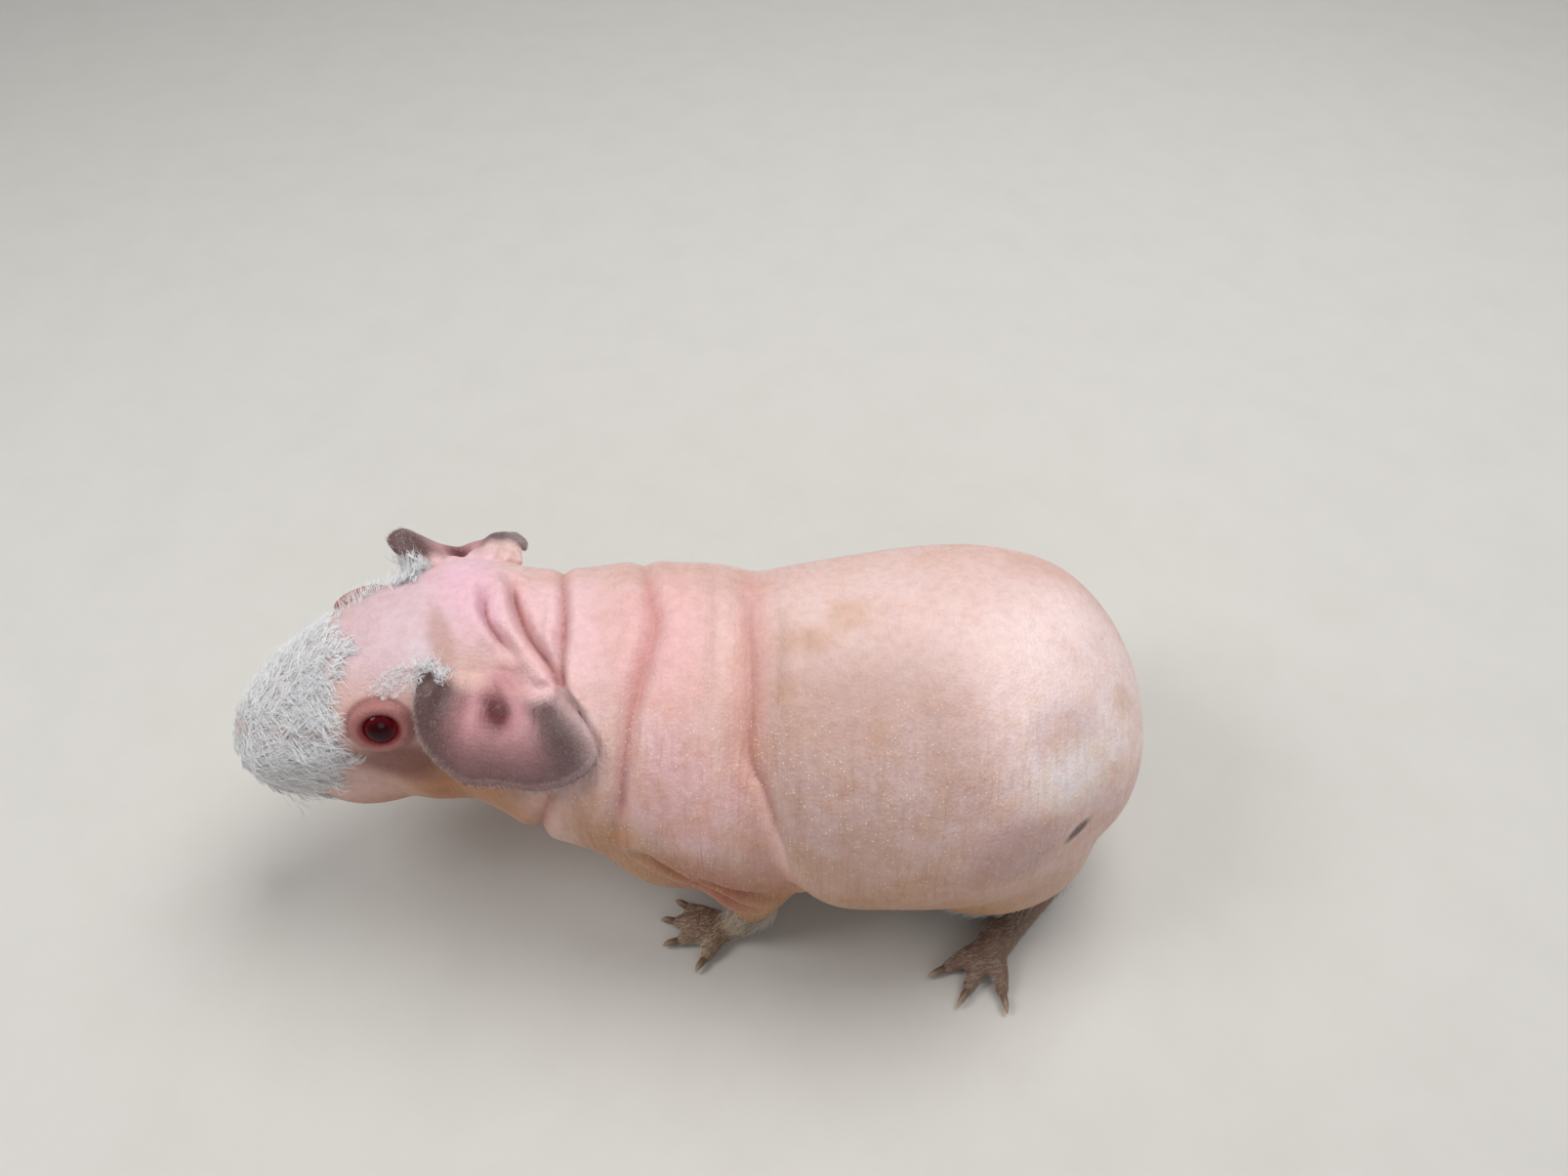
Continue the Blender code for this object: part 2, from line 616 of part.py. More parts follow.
def plane_block(name, cut, toward, inset, collection):
    """Everything on one side of a cut: toward the nose or, at -1, toward the rump."""
    point, turn = cut
    frame = Matrix.Translation(point) @ Matrix.Rotation(turn, 4, "Z")
    low, high = sorted((-toward * inset, -toward * FAR))
    return block(name, (low, -FAR, -FAR), (high, FAR, FAR), frame, collection)


def part_body(body, animal, tools):
    """Divides the body with cuts as wide as the gap."""
    half = GAP / 2
    torso = new_object("torso", body.data.copy(), animal)
    boolean(torso, "INTERSECT", plane_block("behind_neck", NECK_CUT, -1, half, tools))
    neck = new_object("neck", body.data.copy(), animal)
    boolean(neck, "INTERSECT", plane_block("before_torso", NECK_CUT, 1, half, tools))
    boolean(neck, "INTERSECT", plane_block("behind_head", HEAD_CUT, -1, half, tools))
    head = new_object("head", body.data.copy(), animal)
    boolean(head, "INTERSECT", plane_block("before_neck", HEAD_CUT, 1, half, tools))
    trunk = torso.data.copy()
    for side in SIDES:
        for name, (place, radii) in LEG_REGIONS.items():
            inner = ball(name, place, [radius - half for radius in radii], side_frame(side))
            outer = ball(name, place, [radius + half for radius in radii], side_frame(side))
            leg = new_object(f"{name}_{side}", trunk.copy(), animal)
            boolean(leg, "INTERSECT", helper(f"within_{name}_{side}", inner, tools))
            boolean(torso, "DIFFERENCE", helper(f"round_{name}_{side}", outer, tools))
    return head


def finish(animal):
    """Materials, smooth shading, and the origin under the middle of the whole."""
    colours = {"ear": TAUPE, "leg": TAUPE, "claw": CLAW_BROWN, "eye": EYE_RED}
    for item in animal.objects:
        material = bpy.data.materials.new(item.name)
        material.use_nodes = True
        shader = material.node_tree.nodes["Principled BSDF"]
        shader.inputs["Base Color"].default_value = colours.get(item.name.split("_")[0], PINK)
        shader.inputs["Roughness"].default_value = 0.1 if item.name.startswith("eye") else 0.55
        item.data.materials.clear()
        item.data.materials.append(material)
    corners = np.concatenate([arrays(item.data)[0] for item in animal.objects])
    low, high = corners.min(axis=0), corners.max(axis=0)
    middle = Matrix.Translation((-(low[0] + high[0]) / 2, -(low[1] + high[1]) / 2, 0.0))
    for item in animal.objects:
        item.data.transform(middle)
        item.data.shade_smooth()
        item.data.set_sharp_from_angle(angle=math.radians(50.0))
    return middle


def main():
    clear_scene()
    animal = new_collection("skinny_pig")
    tools = new_collection("cutters")
    tools.hide_render = True
    body = fused_body(tools)
    simplify(body)
    boolean(body, "INTERSECT", block("above_floor", (-FAR, -FAR, 0.0), (FAR, FAR, FAR), Matrix(), tools))
    grown_mesh = body.data.copy()
    points, normals, _ = arrays(grown_mesh)
    set_points(grown_mesh, points + normals * GAP)
    grown = helper("grown", grown_mesh, tools)
    head = part_body(body, animal, tools)
    for side in SIDES:
        frame = head_side_frame(side)
        socket = ball("socket", EYE_PLACE, (EYE_RADIUS + GAP,) * 3, frame, 20)
        boolean(head, "DIFFERENCE", helper(f"socket_{side}", socket, tools))
        new_object(f"eye_{side}", ball("eye", EYE_PLACE, (EYE_RADIUS,) * 3, frame, 20), animal)
        ear = new_object(f"ear_{side}", ear_mesh("ear", side), animal)
        thick = ear.modifiers.new("thickness", "SOLIDIFY")
        thick.thickness = EAR_THICKNESS
        thick.offset = 0.0
        apply_modifiers(ear)
        boolean(ear, "DIFFERENCE", grown)
        claws("front", side, FRONT_BONES, FRONT_TOES, grown, animal)
        claws("hind", side, HIND_BONES, HIND_TOES, grown, animal)
    for item in list(tools.objects):
        bpy.data.objects.remove(item)
    return finish(animal)


if __name__ == "__main__":
    main()
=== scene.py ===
"""A skinny pig, the hairless guinea pig, as a life-size still model: its looks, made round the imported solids.

Metres, +Z up. The floor is Z = 0, the animal faces -X and its left side faces -Y. Shapes are worked out in the
frame of the CAD source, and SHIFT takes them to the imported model's.
"""

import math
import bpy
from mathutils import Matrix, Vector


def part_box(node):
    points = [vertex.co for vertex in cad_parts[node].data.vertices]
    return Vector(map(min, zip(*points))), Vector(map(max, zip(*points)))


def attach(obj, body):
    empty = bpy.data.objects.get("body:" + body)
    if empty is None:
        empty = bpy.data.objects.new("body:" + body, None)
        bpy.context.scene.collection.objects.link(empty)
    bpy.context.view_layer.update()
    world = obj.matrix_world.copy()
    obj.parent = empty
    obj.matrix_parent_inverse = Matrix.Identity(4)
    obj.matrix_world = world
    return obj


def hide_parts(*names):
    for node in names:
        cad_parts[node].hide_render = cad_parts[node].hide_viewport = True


bl_info = {
    "name": "Skinny Pig",
    "version": (1, 0, 0),
    "blender": (4, 5, 0),
    "location": "3D View > Sidebar > Skinny Pig",
    "description": "Skin, eyes, claws, hair and studio of a life-size skinny pig",
    "category": "Object",
}

import bmesh
import bpy
import numpy as np
from bpy.props import FloatProperty, FloatVectorProperty, IntProperty, PointerProperty
from mathutils import Vector

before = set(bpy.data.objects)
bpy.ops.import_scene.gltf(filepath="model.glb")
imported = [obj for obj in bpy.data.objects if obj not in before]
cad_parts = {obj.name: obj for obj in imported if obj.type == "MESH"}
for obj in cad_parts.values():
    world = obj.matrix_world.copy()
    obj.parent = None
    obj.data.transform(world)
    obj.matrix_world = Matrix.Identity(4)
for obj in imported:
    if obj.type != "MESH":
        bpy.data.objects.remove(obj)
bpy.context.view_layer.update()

SIDES = {"left": 1, "right": -1}
BODY = "root"


def from_screen(*values):
    """Linear light of a colour given as a screen shows it, 0 to 255, by the sRGB curve."""
    share = np.array(values) / 255.0
    return tuple(np.where(share > 0.04045, ((share + 0.055) / 1.055) ** 2.4, share / 12.92).tolist())


# Trunk and neck, from the rump forward: place along X, side and height of the centre, half width, rise above
# the centre and drop below it.
TRUNK_SECTIONS = (
    (0.1180, 0.0066, 0.0434, 0.0030, 0.0030, 0.0030),
    (0.1155, 0.0068, 0.0440, 0.0172, 0.0160, 0.0145),
    (0.1080, 0.0070, 0.0470, 0.0300, 0.0275, 0.0262),
    (0.0960, 0.0070, 0.0496, 0.0395, 0.0360, 0.0340),
    (0.0800, 0.0040, 0.0502, 0.0472, 0.0408, 0.0392),
    (0.0620, 0.0022, 0.0505, 0.0490, 0.0415, 0.0400),
    (0.0420, 0.0014, 0.0500, 0.0470, 0.0400, 0.0385),
    (0.0240, 0.0014, 0.0500, 0.0435, 0.0370, 0.0365),
    (0.0060, 0.0026, 0.0515, 0.0425, 0.0360, 0.0360),
    (-0.0120, 0.0046, 0.0525, 0.0403, 0.0350, 0.0345),
    (-0.0280, 0.0060, 0.0530, 0.0369, 0.0330, 0.0320),
    (-0.0420, 0.0064, 0.0545, 0.0317, 0.0290, 0.0270),
    (-0.0540, 0.0086, 0.0560, 0.0280, 0.0250, 0.0250),
    (-0.0640, 0.0112, 0.0560, 0.0215, 0.0190, 0.0200),
    (-0.0700, 0.0112, 0.0560, 0.0040, 0.0040, 0.0040),
)

# Head, from the nape forward, in the head's own frame (X forward, Y to its left, Z up): the same columns.
HEAD_SECTIONS = (
    (-0.0160, 0.0, 0.0, 0.0040, 0.0040, 0.0040),
    (-0.0140, 0.0, 0.0, 0.0150, 0.0120, 0.0200),
    (-0.0060, 0.0010, 0.0, 0.0215, 0.0165, 0.0290),
    (0.0080, 0.0, 0.0, 0.0262, 0.0222, 0.0330),
    (0.0210, 0.0, 0.0, 0.0265, 0.0225, 0.0360),
    (0.0340, 0.0, 0.0, 0.0235, 0.0205, 0.0355),
    (0.0455, 0.0, 0.0, 0.0195, 0.0165, 0.0325),
    (0.0550, 0.0, -0.0015, 0.0175, 0.0125, 0.0275),
    (0.0630, 0.0, -0.0035, 0.0152, 0.0092, 0.0235),
    (0.0690, 0.0, -0.0060, 0.0120, 0.0072, 0.0175),
    (0.0720, 0.0, -0.0070, 0.0076, 0.0050, 0.0115),
    (0.0730, 0.0, -0.0075, 0.0018, 0.0014, 0.0018),
)
HEAD_JOINT = (-0.0420, 0.0160, 0.0660)
HEAD_YAW = math.radians(20.0)
HEAD_PITCH = math.radians(1.0)

# Rounded masses, a place and radii each. Of the head: forward, outward, up. Of the body: along X, outward, up.
HEAD_MASSES = {
    "cheek": ((0.0210, 0.0130, -0.0130), (0.0220, 0.0160, 0.0165)),
    "jowl": ((0.0400, 0.0085, -0.0168), (0.0200, 0.0130, 0.0135)),
    "brow": ((0.0350, 0.0120, 0.0065), (0.0120, 0.0095, 0.0090)),
    "lip_pad": ((0.0600, 0.0066, -0.0110), (0.0100, 0.0088, 0.0095)),
    "chin": ((0.0540, 0.0010, -0.0200), (0.0095, 0.0070, 0.0065)),
}
BODY_MASSES = {
    "shoulder": ((-0.0010, 0.0230, 0.0430), (0.0230, 0.0170, 0.0260)),
    "elbow": ((0.0170, 0.0305, 0.0310), (0.0160, 0.0120, 0.0125)),
    "thigh": ((0.0765, 0.0250, 0.0354), (0.0270, 0.0185, 0.0272)),
}
BODY_MIDDLE = 0.0030

FRONT_BONES = (
    (0.0080, 0.0270, 0.0400, 0.0120),
    (0.0185, 0.0315, 0.0285, 0.0090),
    (0.0165, 0.0335, 0.0165, 0.0060),
    (0.0135, 0.0345, 0.0075, 0.0047),
    (0.0090, 0.0350, 0.0028, 0.0040),
)
HIND_BONES = (
    (0.0830, 0.0260, 0.0340, 0.0150),
    (0.0940, 0.0230, 0.0170, 0.0085),
    (0.0960, 0.0230, 0.0065, 0.0056),
    (0.0880, 0.0320, 0.0046, 0.0050),
    (0.0805, 0.0405, 0.0036, 0.0048),
)
FRONT_TOES = ((-30.0, 0.0115), (-8.0, 0.0132), (16.0, 0.0126), (58.0, 0.0094))
HIND_TOES = ((24.0, 0.0137), (56.0, 0.0134), (96.0, 0.0120))
FEET = {"front": (FRONT_BONES, FRONT_TOES), "hind": (HIND_BONES, HIND_TOES)}
TOE_ROOT_RADIUS = 0.0031
TOE_RADIUS = 0.0026
TOE_TIP_RADIUS = 0.0020
TOE_SINK = 0.0002
KNUCKLE_SHARE = 0.55
KNUCKLE_RISE = 0.0006

EYE_PLACE = (0.0360, 0.0178, 0.0070)
EYE_LOOK = (0.16, 0.90, 0.38)
LID_RADII = (0.0056, 0.0049)
LID_THICKNESS = 0.0032
LID_LIFT = 0.0034

# The ear's sheet: its root and its edge from the front corner to the rear one, as forward, outward and up.
EAR_ROOT = {
    "left": (
        (0.0215, 0.0150, 0.0155),
        (0.0150, 0.0190, 0.0160),
        (0.0050, 0.0225, 0.0140),
        (-0.0040, 0.0250, 0.0100),
    ),
    "right": (
        (0.0215, 0.0150, 0.0155),
        (0.0150, 0.0185, 0.0155),
        (0.0050, 0.0205, 0.0120),
        (-0.0050, 0.0210, 0.0065),
    ),
}
EAR_EDGE = {
    "left": (
        (0.0240, 0.0190, 0.0180),
        (0.0274, 0.0254, 0.0155),
        (0.0272, 0.0320, 0.0095),
        (0.0215, 0.0385, 0.0020),
        (0.0130, 0.0430, 0.0020),
        (0.0060, 0.0472, 0.0025),
        (-0.0020, 0.0500, 0.0055),
        (-0.0088, 0.0490, 0.0100),
        (-0.0090, 0.0430, 0.0135),
        (-0.0060, 0.0350, 0.0140),
    ),
    "right": (
        (0.0228, 0.0205, 0.0185),
        (0.0257, 0.0262, 0.0198),
        (0.0220, 0.0322, 0.0165),
        (0.0175, 0.0365, 0.0060),
        (0.0125, 0.0400, -0.0050),
        (0.0060, 0.0435, -0.0100),
        (0.0000, 0.0455, -0.0100),
        (-0.0050, 0.0440, -0.0062),
        (-0.0078, 0.0380, -0.0050),
        (-0.0072, 0.0300, 0.0000),
    ),
}
EAR_ARCH = 0.0042
EAR_CURL = 0.0016
EAR_UP = (0.15, 0.45, 0.88)
EAR_CURL_START = 0.75
CANAL_PIT = (0.50, 0.30, 0.09, 0.13, 0.0050)
EAR_THICKNESS = 0.0016
EAR_PLEATS = (0.00045, 7.0, 0.55)  # the folds out from the canal: their height, number and reach

# Skin folds round the trunk: how deep, half how wide, and stops as the turn from the top, left side positive,
# in degrees, and the place along X.
FOLDS = {
    "nape": (0.0022, 0.0016, ((-15, -0.0482), (-1, -0.0466), (6, -0.0440), (12, -0.0407), (16, -0.0391))),
    "second_nape": (
        0.0030,
        0.0017,
        ((-26, -0.0427), (-10, -0.0399), (7, -0.0357), (20, -0.0303), (31, -0.0272), (46, -0.0246)),
    ),
    "collar": (
        0.0024,
        0.0016,
        ((-75, -0.0340), (-48, -0.0326), (-9, -0.0285), (11, -0.0273), (34, -0.0264), (44, -0.0249)),
    ),
    "throat": (0.0016, 0.0020, ((66, -0.0285), (76, -0.0301), (90, -0.0332), (105, -0.0355), (150, -0.0390))),
    "far_throat": (0.0022, 0.0020, ((-150, -0.0370), (-105, -0.0350), (-80, -0.0310))),
    "withers": (
        0.0025,
        0.0024,
        (
            (-85, -0.0135), (-47, -0.0116), (-15, -0.0073), (4, -0.0061), (41, -0.0103), (57, -0.0118),
            (80, -0.0130),
        ),
    ),
    "faint": (0.0007, 0.0022, ((-40, 0.0065), (3, 0.0085), (34, 0.0086))),
    "waist": (
        0.0028,
        0.0062,
        ((-115, 0.0250), (-48, 0.0159), (-9, 0.0168), (31, 0.0163), (51, 0.0164), (86, 0.0207), (118, 0.0290)),
    ),
    "armpit": (0.0018, 0.0014, ((92, -0.0090), (101, -0.0012), (112, 0.0080), (119, 0.0190))),
    "second_armpit": (0.0014, 0.0013, ((101, 0.0050), (107, 0.0130), (112, 0.0200))),
    "far_armpit": (0.0018, 0.0014, ((-119, 0.0190), (-106, 0.0050), (-94, -0.0080))),
}
FOLD_RADIUS = 0.040
FOLD_ROLL = 0.35
FOLD_CALM = (-62.0, -4.0)
FOLD_FAR_SHARE = 0.3
FOLD_HEIGHTS = (0.010, 0.016)
FOLD_FADE = 0.006
FOLD_END_SHARE = 0.25
FOLD_SHARPNESS = 0.9  # width of the skin's folds, of the solids'
DEEP_FOLD = 0.0025
NARROW_FOLD = 0.0017
CREASE_WIDTH = 0.0007

# A groove's sharp middle, as its share of the depth and its width, and the roll beside it, as its distance and
# half its width; each width and distance to the groove's own width.
SHARP_MIDDLE = (0.38, 0.45)
ROLL_BESIDE = (2.2, 1.5)

# Fine creases, which only the skin has: the same columns.
CREASES = {
    "waist_edge": (
        0.0010,
        0.0011,
        (
            (-26, 0.0164), (-3, 0.0167), (22, 0.0170), (36, 0.0169), (45, 0.0167), (53, 0.0182), (58, 0.0204),
            (76, 0.0246),
        ),
    ),
    "waist_ridge": (
        -0.0006, 0.0030, ((20, 0.0128), (36, 0.0126), (45, 0.0124), (53, 0.0138), (62, 0.0160), (76, 0.0198))
    ),
    "behind_waist": (0.0004, 0.0015, ((-14, 0.0232), (2, 0.0240), (16, 0.0236), (30, 0.0230))),
    "second_behind": (0.0003, 0.0015, ((0, 0.0305), (14, 0.0300), (26, 0.0290))),
    "flank": (0.0003, 0.0009, ((46, 0.0290), (60, 0.0282), (74, 0.0290))),
    "shoulder_line": (0.0003, 0.0008, ((60, -0.0040), (70, -0.0020), (82, 0.0005))),
    "neck_line": (0.0005, 0.0008, ((52, -0.0262), (64, -0.0270), (74, -0.0284))),
    "second_neck_line": (0.0004, 0.0008, ((40, -0.0215), (52, -0.0212), (66, -0.0220))),
    "scruff": (0.0004, 0.0009, ((-8, -0.0340), (2, -0.0325), (12, -0.0316))),
}

# Painted light and shade on both sides of the waist's edge: the line as turns and places along X, then for the
# painted highlight on the rise ahead of it and the painted shade in the hollow behind it the colour, the
# strength and how far it reaches.
WAIST_LINE = (
    (-52, -26, 22, 45, 53, 58, 70, 76, 96),
    (0.0159, 0.0164, 0.0170, 0.0167, 0.0182, 0.0204, 0.0233, 0.0248, 0.0270),
)
WAIST_LIGHT_AND_SHADE = (
    (from_screen(252, 220, 212), 0.75, 0.0060),
    (from_screen(200, 166, 154), 0.55, 0.0110),
)
WAIST_TURNS = (-20, 12, 74, 98)
WAIST_EDGE = 0.0005
WAIST_FINE = 0.0025  # how near the waist's edge the skin keeps all its triangles

# Lines pressed into the face, as points in the head's own frame, for the left side and its mirror image.
FACE_LINES = {
    "lip_cleft": (0.0018, 0.0009, ((0.0730, 0.0, -0.0095), (0.0715, 0.0, -0.0175))),
    "mouth": (0.0024, 0.0009, ((0.0715, 0.0, -0.0175), (0.0680, 0.0070, -0.0195), (0.0600, 0.0140, -0.0200))),
    "nostril": (0.0028, 0.0009, ((0.0732, 0.0024, -0.0075), (0.0722, 0.0050, -0.0050))),
    "ear_fold": (
        -0.0010, 0.0016, ((0.0078, 0.0230, 0.0150), (0.0055, 0.0275, 0.0140), (0.0028, 0.0318, 0.0125))
    ),
    "eye_corner": (0.0010, 0.0008, ((0.0425, 0.0195, 0.0065), (0.0450, 0.0185, 0.0050))),
}
FACE_ROLL = 0.15

CLAW_LENGTH = {"front": 0.0028, "hind": 0.0037}
CLAW_RADIUS = 0.00105
CLAW_STOPS = ((0.35, 0.85, 0.0004), (0.75, 0.55, 0.0), (1.0, 0.25, -0.0006))

COARSE = 0.0011  # grid of the body before the lids and the ears join it
SOFTENING = (0.5, 26, 0.03)
SOFT_HEIGHTS = (0.006, 0.016)

# The camera, in the frame of the CAD source: its place, how far it looks down, and its lens on a 36 mm width.
CAMERA_PLACE = (0.0248, -0.1690, 0.2920)
CAMERA_DOWN = math.radians(48.0)
LENS = 26.0

SKIN_NODES = (
    "head",
    "neck",
    "torso",
    *(f"{kind}_{side}" for kind in ("leg_front", "leg_hind", "ear") for side in SIDES),
)

# Grids: rings and sides of the lofts, the limbs, the toes and the claws, and across and out of the ears'
# sheets, for their shape and for finding what is near them.
TRUNK_GRID = (110, 80)
HEAD_GRID = (100, 72)
LIMB_GRID = (8, 20)
TOE_GRID = (6, 14)
CLAW_GRID = (13, 12)
EAR_GRID = (90, 34)
EAR_SEARCH_GRID = (60, 24)
EAR_LIE_GRID = (41, 21)
EAR_MARGIN = 0.006
SEARCH_BATCH = 8000
POLE_TURN = 0.02  # of a ball's first ring from its pole

# The skin: its last smoothing as share and turns, its lowest point, where along the head the trunk's colours
# start, and where the skin is thinned.
SKIN_SMOOTHING = (0.35, 3)
LOWEST_SKIN = 0.00005
HEAD_START = -0.004
THIN_ABOVE = 0.016
THIN_FROM_EARS = 0.004

# Eyes: the opening between the lids, how deep the skin lies in it as a share of the ball's radius, how much
# the cornea stands out, and how many sides the ball has.
SOCKET_OPENING = (0.0043, 0.0036)
SOCKET_SHARE = 0.93
CORNEA_RISE = 0.05
EYE_SIDES = 64

# Colours of the skin, as a screen shows them in even light.
PINK = from_screen(232, 199, 194)
# Folds: rosier skin darkened as painted shade over a groove, and painted shade at a deep fold's bottom.
CREASE_ROSE_AND_SHADE = from_screen(222, 150, 148)
CREASE_PAINTED_SHADE = from_screen(150, 82, 78)
LID_PALE = from_screen(178, 124, 122)
# A darker ring in the lids' fold: painted shade.
LID_CREASE_SHADE = from_screen(146, 88, 88)
LID_RED = from_screen(150, 52, 62)
TAUPE = from_screen(104, 80, 80)
EAR_PINK = from_screen(208, 158, 166)
EAR_PALE = from_screen(198, 170, 170)
# The canal's pit: red skin, darkened as painted shade in the hollow.
PIT_RED_AND_SHADE = from_screen(104, 48, 54)
FOOT_BROWN = from_screen(116, 94, 84)
# Pale flecks of dry skin, painted bright as glints.
FLECK_AND_GLINT_COLOUR = from_screen(250, 236, 206)

# Colours of the eyes and the claws.
EYE_DARK = from_screen(46, 1, 9)
EYE_RUBY = from_screen(82, 3, 16)
# Redder at the ruby's lower edge: painted light shining through the eye.
EYE_RIM_PAINTED_LIGHT = from_screen(150, 48, 42)
CLAW_PALE = from_screen(196, 170, 146)
CLAW_DARK = from_screen(92, 66, 52)

# The slant's place is the one along X plus SLANT times the turn. The mole, a line along the slant, has its
# place along X and its turn, and keeps all the skin's triangles as near as MOLE_FINE.
SLANT = 0.0005
MOLE_PLACE = (0.0938, 80.5)
MOLE_MIDDLE = (*MOLE_PLACE, MOLE_PLACE[0] + MOLE_PLACE[1] * SLANT)
MOLE_FINE = 0.006

# Markings of the trunk and of the head: middle, radii, colour as a screen shows it, and strength. The columns
# of the trunk are along X, the turn from the top in degrees and a slant across both, and of the head forward,
# left and up.
# Some markings are painted light and some painted shade, as noted above each.
MARKINGS = {
    "trunk": {
        # Lighter along the top of the back: painted light.
        "back_top_painted_light": ((0.0500, 0.0, 0), (0.0650, 52.0, 9), (242, 219, 218), 0.85),
        # Darker over the middle of the back's upper side.
        "back_middle_darker": ((0.0420, 44.0, 0), (0.0480, 50.0, 9), (206, 178, 173), 0.75),
        # Tan under the belly on both sides: tan skin, with painted shade and painted warm bounced light.
        "belly_shade_and_tan": ((0.0450, 150.0, 0), (0.0900, 92.0, 9), (186, 138, 94), 1.0),
        "far_belly_shade_and_tan": ((0.0450, -150.0, 0), (0.0900, 92.0, 9), (186, 138, 94), 1.0),
        "neck_rose": ((-0.0340, 8.0, 0), (0.0260, 66.0, 9), (247, 212, 220), 0.95),
        "withers_rose": ((-0.0040, 6.0, 0), (0.0190, 52.0, 9), (245, 203, 207), 0.9),
        "shoulder_rose": ((0.0020, 62.0, 0), (0.0180, 34.0, 9), (234, 190, 192), 0.8),
        # Redder and darker behind the front leg: reddish skin with painted shade.
        "armpit_shade_and_red": ((0.0040, 108.0, 0), (0.0200, 30.0, 9), (180, 118, 94), 0.9),
        # Tan low on the chest: tan skin with painted shade.
        "chest_shade_and_tan": ((-0.0200, 105.0, 0), (0.0280, 44.0, 9), (182, 131, 88), 0.9),
        # Paler pink over the haunch, made paler still as painted light where the rump catches the light.
        "haunch_pink_and_light": ((0.0980, 26.0, 0), (0.0400, 60.0, 9), (254, 236, 238), 1.0),
        "haunch_shade": ((0.0880, 42.0, 0), (0.0130, 14.0, 9), (214, 188, 192), 0.50),
        # A painted highlight on the haunch.
        "haunch_painted_highlight": ((0.0900, 57.0, 0), (0.0150, 17.0, 9), (254, 242, 242), 0.75),
        # Painted shade low on the haunch.
        "haunch_low_shade": ((0.0785, 77.0, 0), (0.0170, 16.0, 9), (196, 160, 158), 0.6),
        "mole": (MOLE_MIDDLE, (1, 4.4, 0.0038), (112, 76, 74), 1.0),
        "ochre": ((0.0400, -5.0, 0), (0.0075, 11.0, 9), (208, 168, 128), 0.4),
        "second_ochre": ((0.0300, 5.0, 0), (0.0110, 9.0, 9), (208, 168, 130), 0.4),
        "third_ochre": ((0.0250, 24.0, 0), (0.0045, 9.0, 9), (196, 154, 116), 0.38),
        "fourth_ochre": ((0.1060, 30.0, 0), (0.0050, 9.0, 9), (216, 186, 158), 0.35),
    },
    "head": {
        "brow": ((0.0280, 0.0, 0.0200), (0.0240, 0.0250, 0.0200), (230, 208, 220), 0.9),
        "crown_rose": ((0.0030, -0.0060, 0.0180), (0.0220, 0.0300, 0.0170), (250, 212, 234), 0.9),
        "white_patch": ((0.0240, 0.0110, 0.0195), (0.0050, 0.0050, 0.0060), (232, 216, 226), 0.9),
        "brow_line": ((0.0180, 0.0100, 0.0205), (0.0040, 0.0130, 0.0090), (190, 150, 132), 0.5),
        # Tan on the low cheek and under the jaw: tan skin with painted shade.
        "cheek_shade_and_tan": ((0.0180, 0.0300, -0.0180), (0.0340, 0.0260, 0.0280), (184, 132, 93), 1.0),
        "jaw_shade_and_tan": ((0.0450, 0.0100, -0.0340), (0.0360, 0.0360, 0.0220), (172, 112, 56), 1.0),
        "under_eye": ((0.0360, 0.0245, -0.0030), (0.0165, 0.0135, 0.0105), (136, 84, 74), 0.9),
        "nose": ((0.0730, 0.0, -0.0060), (0.0080, 0.0070, 0.0070), (226, 170, 164), 0.9),
        "ear_base": ((0.0060, 0.0265, 0.0140), (0.0095, 0.0115, 0.0080), (204, 150, 158), 0.95),
        # Darker and rosier under the ear's flap: painted shade.
        "behind_ear_shade": ((0.0020, 0.0250, 0.0010), (0.0150, 0.0130, 0.0110), (206, 150, 144), 0.6),
    },
}

# Hair: sides of each, how far its root lies under the skin, its lowest point, how much the skin's normal
# counts in its shading to one part of its own, the size of a tuft's patch on the unwrap, the place along X
# that parts the fur of the front feet from the hind ones', the numbers of tufts, and the muzzle coat's back
# edge, as turns from the top of the head and places forward.
HAIR_SIDES = 3
HAIR_ROOT = 0.0003
LOWEST_HAIR = 0.0001
COAT_NORMAL = 2.5
PATCH = 0.003
FEET_PARTED = 0.05
TUFTS = {
    "muzzle_under": 1600,
    "muzzle_coat": 580,
    "whiskers": 14,
    "ear_fuzz": 4100,
    "foot_fur": 2700,
    "body_down": 4200,
}
MUZZLE_EDGE = ((0, 22, 40, 62, 90, 124, 180), (0.0395, 0.0430, 0.0465, 0.0490, 0.0510, 0.0545, 0.0590))

# How long the muzzle's short and long hairs are, as places forward along the head and lengths.
UNDER_LENGTHS = ((0.036, 0.050, 0.064, 0.074), (0.0030, 0.0036, 0.0032, 0.0022))
MUZZLE_LENGTHS = ((0.038, 0.047, 0.060, 0.069, 0.074), (0.0040, 0.0074, 0.0092, 0.0056, 0.0028))

# Colours of the hair's roots and tips, apart from its settings' own.
MUZZLE_ROOT = from_screen(226, 212, 214)
MUZZLE_SHADED = from_screen(226, 222, 226)
FACE_ROOT = from_screen(238, 224, 226)
EAR_FUZZ = (from_screen(140, 114, 112), from_screen(184, 164, 160))
FOOT_ROOT = from_screen(132, 112, 104)
FOOT_TIPS = {"front": from_screen(206, 182, 148), "hind": from_screen(186, 168, 156)}
DOWN_ROOT = from_screen(226, 196, 176)

WHISKER_PLACE = (0.0640, 0.0110, -0.0120)
WHISKER_SPREAD = (0.0060, 0.0060, 0.0070)
WHISKER_RADIUS = 0.00007

